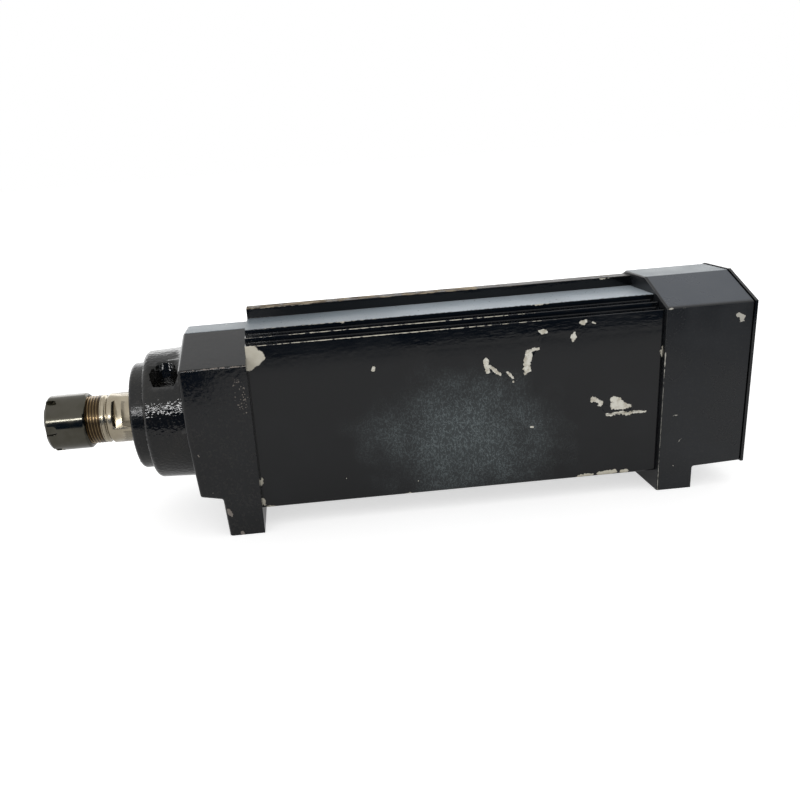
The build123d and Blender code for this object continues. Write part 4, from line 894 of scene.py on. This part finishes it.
@dataclass
class Castings:
    """The two cast housings with their feet, the bearing cap and the rear closing parts."""

    front_face: float = -133.2
    front_side: float = -43.4
    front_shoulder: float = 86.2
    front_top: float = 97.2
    rear_side: float = -38.6
    rear_start: float = 101.4
    rear_top: float = 106.0

    def build_front(self) -> None:
        """Make the painted front housing, whose turned boss has a much rougher skin."""
        bm = node_copy("front_housing")
        for face in bm.faces:
            face.material_index = int(face.calc_center_median().x < self.front_face - 0.2)
        side = self.front_side
        # Enamel on sand-cast iron, rubbed down first: glossy with shallow lumps that bend its mirror
        # image, runs near the shoulder, and chips at the foot; a thin pale streak along the shoulder that
        # is partly worn paint and partly painted highlight, and a pale film on the top that is partly dust
        # and partly a painted reflection of the sky.
        block = Enamel(
            "black_enamel_on_front_casting", lump_depth=0.045, wrinkled_above=74.0, wrinkle_depth=0.08,
            dust=0.05, filler="99918a", stain="77706a", dust_and_sheen_height=self.front_top, dust_and_sheen_start="8c959b",
            flakes=(
                Flake(-112.1, side, 0.9, 0.9, 1.2),
                Flake(-124.0, side, 24.4, 0.3, 0.25),
                Flake(-128.6, side, 44.0, 0.25, 0.6),
            ),
            worn=(
                Flake(-119.5, side, 12.5, 0.35, 4.5, -8, 3.0),
                Flake(-117.6, side, 13.0, 1.2, 3.0, 20, 1.0),
            ),
            worn_and_highlight_lines=(Flake(-116.0, side + 0.2, self.front_shoulder, 18.5, 0.34, 0, 0.4),),
            line_grain=1.3, line_spread=1.3, specks=(Flake(-105.0, side, 72.0, 4.5, 15.0, 8, 4.0),),
        )
        # Thick enamel straight on the as-cast skin: lumps of sand size that each catch a hard sparkle.
        boss = Enamel(
            "black_enamel_on_rough_boss", colour="0c0d0f", second="1b1a18", roughness=0.06,
            lump_size=1.5, lump_depth=0.26, lump_detail=1.0, dust=0.05,
        )
        finishes = [block.make(), boss.make()]
        piece(bm, "front_housing_painted", Body.HOUSING, finishes, ("front_housing",))

    def build_rear(self) -> None:
        """Make the painted rear housing."""
        bm = node_copy("rear_housing")
        side, start = self.rear_side, self.rear_start
        # A dry coat of enamel on a smoother casting: greyer and duller than the body beside it, with thin
        # pale streaks along the edge where the two meet and along the top edge, partly worn paint and
        # partly painted highlight. Above the side it turns paler and bluish, a painted reflection of the
        # sky on the chamfer, and the top carries a pale film that is partly dust and partly painted
        # reflection.
        enamel = Enamel(
            "black_enamel_on_rear_casting", colour="191b1e", second="222427", roughness=0.3,
            lump_depth=0.012, dust=0.03, filler="dcd9cf", stain="a5a299", painted_reflection_above=94.6,
            dust_and_sheen_height=self.rear_top, dust_and_sheen_end="b9bec1",
            flakes=(
                Flake(108.5, side, 40.1, 1.3, 0.12, 14),
                Flake(111.4, side, 26.4, 1.3, 0.14, 45),
                Flake(108.7, side, 13.0, 0.25, 0.35),
                Flake(136.6, side, 88.3, 1.5, 1.0, -30),
                Flake(138.1, side, 86.6, 1.4, 1.7, 20),
            ),
            worn_and_highlight_lines=(
                Flake(start, side, 68.5, 0.3, 4.5, 0, 0.4),
                Flake(start, side, 40.0, 0.07, 36.0, 0, 0.2),
                Flake(start, side, 4.0, 0.12, 8.0, 0, 0.3),
                Flake(102.6, side + 0.4, 94.1, 1.1, 0.4, 0, 0.8),
                Flake(109.0, side + 0.3, 94.0, 2.5, 0.1, 0, 0.3),
            ),
        )
        piece(bm, "rear_housing_painted", Body.HOUSING, [enamel.make()], ("rear_housing",))

    def build_closing_parts(self) -> None:
        """Dress the cover, the gasket, the bearing cap and their screws."""
        # Enamel on rolled sheet: the smoothest of the painted faces.
        dress(Enamel("black_enamel_on_sheet_steel", peel_depth=0.008, dust=0.03), "rear_cover")
        # Sheet rubber: no gloss at all, a black line between two glossy parts.
        dress(Moulding("nitrile_rubber_sheet", "08090a", "101113", 0.7), "rear_gasket", "gland_seal")
        # The same coat as on the boss, a little duller and finer, because the cap was turned first.
        cap = Enamel(
            "black_enamel_on_bearing_cap", colour="0e0f10", second="1a1917", roughness=0.2,
            lump_size=1.5, lump_depth=0.14, dust=0.07,
        )
        dress(cap, "front_bearing_cap")
        # Black oxide on cold-headed screws: dark metal with a soft, oily highlight.
        screws = Metal("black_oxide_screws", "2a2a2b", "3a3835", 0.35)
        dress(screws, "front_cap_screws", "rear_cover_screws", "tie_bolts", "port_plug")

    def build(self) -> None:
        """Make every casting and closing part."""
        self.build_front()
        self.build_rear()
        self.build_closing_parts()


@dataclass
class Nose:
    """The spindle nose: shaft with its thread, collet, collet nut."""

    thread_radius: float = 12.5
    thread_pitch: float = 1.5
    thread_depth: float = 0.92
    thread_start: float = -192.2
    thread_end: float = -180.7
    ridge_foot: float = 0.1
    crest: tuple[float, float] = (0.44, 0.56)
    steps_per_turn: int = 48
    nut_bore: float = 11.0
    nut_edge_angle: float = 35.0
    nut_edge_radius: float = 0.18

    def build_shaft(self) -> None:
        """Make the shaft, cut down to the root of its thread."""
        bm = node_copy("spindle_shaft")
        root = self.thread_radius - self.thread_depth
        for vertex in bm.verts:
            across = Vector((vertex.co.y, vertex.co.z - AXIS_HEIGHT))
            if vertex.co.x < self.thread_end and abs(across.length - self.thread_radius) < 0.02:
                across *= root / across.length
                vertex.co.y, vertex.co.z = across.x, across.y + AXIS_HEIGHT
        for face in bm.faces:
            threaded = face.calc_center_median().x < self.thread_end and abs(face.normal.x) < 0.9
            face.material_index = int(threaded)
        # Ground bearing steel: bright and patchy, with a warm tint that is a painted reflection of a warm
        # floor.
        ground = Metal("ground_steel", "a9a08d", "857a68", 0.2, stain_size=11.0, stain=0.4)
        # The thread's root: dark brown between the bright ridges, partly oil and dust and partly painted
        # shade of the grooves.
        root_oil_and_shade = Metal("thread_root_oil_and_painted_shade", "3b3023", "2b241b", 0.34, ring_depth=0.0)
        finishes = [ground.make(), root_oil_and_shade.make()]
        piece(bm, "spindle_shaft_threaded", Body.SPINDLE, finishes, ("spindle_shaft",))

    def build_thread(self) -> None:
        """Sweep the thread's ridge along its helix."""
        root = self.thread_radius - self.thread_depth - self.ridge_foot
        turns = (self.thread_end - self.thread_start - self.thread_pitch) / self.thread_pitch
        outline = (
            (self.thread_start, root),
            (self.thread_start + self.crest[0] * self.thread_pitch, self.thread_radius),
            (self.thread_start + self.crest[1] * self.thread_pitch, self.thread_radius),
            (self.thread_start + self.thread_pitch, root),
        )
        bm = bmesh.new()
        corners = [bm.verts.new((x, 0, AXIS_HEIGHT + r)) for x, r in outline]
        profile = bm.faces.new(corners)
        steps = round(turns * self.steps_per_turn)
        bmesh.ops.spin(
            bm, geom=[profile, *profile.edges, *profile.verts], angle=2 * pi * turns, steps=steps,
            dvec=(turns * self.thread_pitch / steps, 0, 0), axis=(1, 0, 0), cent=(0, 0, AXIS_HEIGHT),
        )
        bmesh.ops.recalc_face_normals(bm, faces=bm.faces)
        # Turned steel rubbed by the nut: each crest draws a thin warm line.
        steel = Metal("turned_thread_steel", "94805f", "6d5c45", 0.3, ring_depth=0.0)
        piece(bm, "nose_thread", Body.SPINDLE, [steel.make()])

    def build_nut(self) -> None:
        """Make the collet nut with its edges eased, and dress the collet."""
        bm = node_copy("collet_nut")
        outside = sharp_edges(
            bm, self.nut_edge_angle, lambda p: Vector((p.y, p.z - AXIS_HEIGHT)).length > self.nut_bore
        )
        ease(bm, outside, self.nut_edge_radius, 2)
        # Black oxide polished by years of handling: dark grey, with streaks nearly as sharp as chrome's.
        oxide = Metal("polished_black_oxide_steel", "504e47", "444239", 0.13, ring_depth=0.001)
        piece(bm, "collet_nut_eased", Body.NUT, [oxide.make()], ("collet_nut",))
        # Hardened and ground spring steel: even, neutral and bright.
        dress(Metal("ground_spring_steel", "8f8d89", "75726c", 0.2), "collet", "nut_eccentric_ring")

    def build(self) -> None:
        """Make the nose."""
        self.build_shaft()
        self.build_thread()
        self.build_nut()


@dataclass
class Insides:
    """Bearings, rotor, stator, terminal block and cable gland."""

    def build(self) -> None:
        """Dress the parts inside the housings and the cable entry."""
        # Lapped bearing steel: near to a mirror.
        dress(
            Metal("bearing_steel", "b9bcc0", "9a9da1", 0.12),
            "front_bearing_balls", "front_bearing_inner_rings", "front_bearing_outer_rings",
            "rear_bearing_balls", "rear_bearing_inner_ring", "rear_bearing_outer_ring",
        )
        # Plain turned steel: its rings spread the highlight along the axis.
        dress(
            Metal("turned_steel", "8d8c8a", "6f6d6a", 0.3, ring_depth=0.004),
            "inner_bearing_spacer", "outer_bearing_spacer", "bearing_locknut", "shaft_circlip",
            "preload_spring",
        )
        # Stacked electrical sheet, half a millimetre thick: dark grey, lined across the axis.
        sheets = Metal("lamination_steel", "5b5c60", "46474b", 0.4, ring_depth=0.02)
        dress(sheets, "rotor_core", "stator_core")
        # Die-cast aluminium: pale and matt.
        dress(Metal("cast_aluminium", "a9abad", "8b8d90", 0.4), "rotor_end_rings")
        # Plated brass: yellow, with a soft shine.
        dress(Metal("plated_brass", "c2a468", "9b8452", 0.3), "terminal_screws")
        # Varnish over bundles of wire: reddish brown, glossy on a coarse, lumpy surface.
        dress(Moulding("winding_varnish", "6b3a1c", "8a5226", 0.35, 0.9, 0.15), "stator_windings")
        # Pressed thermoset: nearly black, with an even sheen.
        dress(Moulding("thermoset_plastic", "1b1b1c", "242425", 0.45), "terminal_block")
        # Moulded nylon: black with a faint waxy sheen.
        dress(Moulding("moulded_nylon", "16171a", "202226", 0.42), "cable_gland", "gland_nut")


@dataclass
class Studio:
    """Camera, floor, lamps and the dark cloth that the gloss mirrors."""

    eye: Point = (-73.84, -401.05, 174.09)
    pitch: float = 19.080
    yaw: float = 2.134
    roll: float = 4.632
    focal: float = 785.65
    centre: tuple[float, float] = (338.13, 430.56)
    picture: float = 800.0
    sensor: float = 36.0
    sky: float = 0.75
    floor_reach: float = 20000.0
    floor_colour: str = "e4e4e4"
    floor_glow: float = 0.62
    mirrored_glow: float = 0.22
    cloth_colour: str = "304a68"
    cloth_glow: float = 0.8

    def build_camera(self) -> None:
        """Stand the camera where it sees the object from its near side, a little above."""
        a, b, c = radians(self.pitch), radians(self.yaw), radians(self.roll)
        ahead = Vector((sin(b) * cos(a), cos(b) * cos(a), -sin(a)))
        right = Vector((cos(b), -sin(b), 0.0))
        down = ahead.cross(right)
        turned_right = right * cos(c) + down * sin(c)
        turned_down = down * cos(c) - right * sin(c)
        lens = bpy.data.cameras.new("camera")
        lens.sensor_width = self.sensor
        lens.lens = self.focal / self.picture * self.sensor
        lens.shift_x = (self.picture / 2 - self.centre[0]) / self.picture
        lens.shift_y = (self.centre[1] - self.picture / 2) / self.picture
        lens.clip_start = 0.01
        camera = bpy.data.objects.new("camera", lens)
        turn = Matrix((turned_right, -turned_down, -ahead)).transposed()
        camera.matrix_world = Matrix.Translation(Vector(self.eye) * MM) @ turn.to_4x4()
        bpy.context.scene.collection.objects.link(camera)
        bpy.context.scene.camera = camera

    def build_world(self) -> None:
        """Light everything softly from all round, and show plain white."""
        bpy.context.scene.world = bpy.data.worlds.new("white_tent")
        g = Graph(bpy.context.scene.world)
        camera, glossy, passing = (
            g.add("LightPath", result=f"Is {ray} Ray") for ray in ("Camera", "Glossy", "Transmission")
        )
        shown = g.add("Math", camera, glossy, operation="MAXIMUM")
        shown = g.add("Math", shown, passing, operation="MAXIMUM")
        lit = g.add("Background", {"Color": WHITE, "Strength": self.sky})
        seen = g.add("Background", {"Color": WHITE, "Strength": 1.0})
        g.add("OutputWorld", g.add("MixShader", shown, lit, seen))

    def card(self, name: str, corners: tuple[Point, ...], material: Material) -> bpy.types.Object:
        """Make one flat sheet that isn't part of the object.

        Args:
            name: the sheet's name.
            corners: its four corners in mm.
            material: its finish.

        Returns:
            The sheet.
        """
        bm = bmesh.new()
        bm.faces.new([bm.verts.new(Vector(corner) * MM) for corner in corners])
        mesh = bpy.data.meshes.new(name)
        bm.to_mesh(mesh)
        bm.free()
        mesh.materials.append(material)
        sheet = bpy.data.objects.new(name, mesh)
        bpy.context.scene.collection.objects.link(sheet)
        return sheet

    def build_floor(self) -> None:
        """Lay the pale floor, which keeps the object's soft shadow."""
        # Matt white card: pale where the camera sees it, darker where the gloss mirrors it.
        g = Graph(bpy.data.materials.new("white_table"))
        camera, glossy, passing = (
            g.add("LightPath", result=f"Is {ray} Ray") for ray in ("Camera", "Glossy", "Transmission")
        )
        mirrored = g.add("Math", glossy, passing, operation="MAXIMUM")
        mirrored = g.add("Math", mirrored, self.mirrored_glow, operation="MULTIPLY")
        glow = g.add("Math", camera, self.floor_glow, operation="MULTIPLY")
        glow = g.add("Math", glow, mirrored, operation="ADD")
        diffuse = g.add("BsdfDiffuse", {"Color": linear(self.floor_colour)})
        shader = g.add("AddShader", diffuse, g.add("Emission", {"Color": WHITE, "Strength": glow}))
        far = self.floor_reach
        corners = ((-far, -far, 0), (far, -far, 0), (far, far, 0), (-far, far, 0))
        self.card("floor", corners, g.finish(shader))

    def build_cloth(self) -> None:
        """Hang the dark cloth before the table, where only the gloss sees it."""
        # Dark blue cloth: it gives the flat sides their even, bluish black.
        g = Graph(bpy.data.materials.new("dark_cloth"))
        material = g.finish(g.add("Emission", linear(self.cloth_colour), self.cloth_glow))
        for side, left, right, y, top in (("left", -700, -150, -300, 178), ("right", -260, 700, -380, 230)):
            corners = ((left, y, 1), (right, y, 1), (right, y, top), (left, y, top))
            cloth = self.card(f"dark_cloth_{side}", corners, material)
            cloth.visible_camera = False
            cloth.visible_diffuse = False
            cloth.visible_shadow = False
            cloth.visible_transmission = False

    def lamp(
        self, name: str, place: Point, target: Point, size: tuple[float, float], radiance: float
    ) -> bpy.types.Object:
        """Hang one soft lamp.

        Args:
            name: the lamp's name.
            place: its centre in mm.
            target: the point that it faces, in mm.
            size: its width and height in mm.
            radiance: how bright its face is, where white paper is 1.

        Returns:
            The lamp.
        """
        light = bpy.data.lights.new(name, "AREA")
        light.shape = "RECTANGLE"
        light.size, light.size_y = size[0] * MM, size[1] * MM
        light.energy = radiance * pi * light.size * light.size_y
        lamp = bpy.data.objects.new(name, light)
        aim = (Vector(target) - Vector(place)).to_track_quat("-Z", "Y")
        lamp.matrix_world = Matrix.Translation(Vector(place) * MM) @ aim.to_matrix().to_4x4()
        lamp.visible_camera = False
        bpy.context.scene.collection.objects.link(lamp)
        return lamp

    def build(self) -> None:
        """Build the whole studio."""
        self.build_camera()
        self.build_world()
        self.build_floor()
        self.build_cloth()
        self.lamp("window_behind", (0, 900, 330), (0, 0, 60), (1800, 420), 1.2)
        # The strip draws the sparkle on the boss and the streak on the nut, and lights nothing else.
        strip = self.lamp("strip_in_front", (-350, -304, 190), (-350, 0, 60), (500, 24), 22.0)
        strip.visible_diffuse = False
        bpy.context.scene.view_settings.view_transform = "Standard"


def main() -> None:
    """Build the studio and the spindle's looks, piece by piece."""
    logging.basicConfig(level=logging.INFO, format="%(name)s: %(message)s")
    for part in (Studio(), MotorBody(), Castings(), Nose(), Insides()):
        part.build()
        LOG.info("built %s", type(part).__name__)


if __name__ == "__main__":
    main()
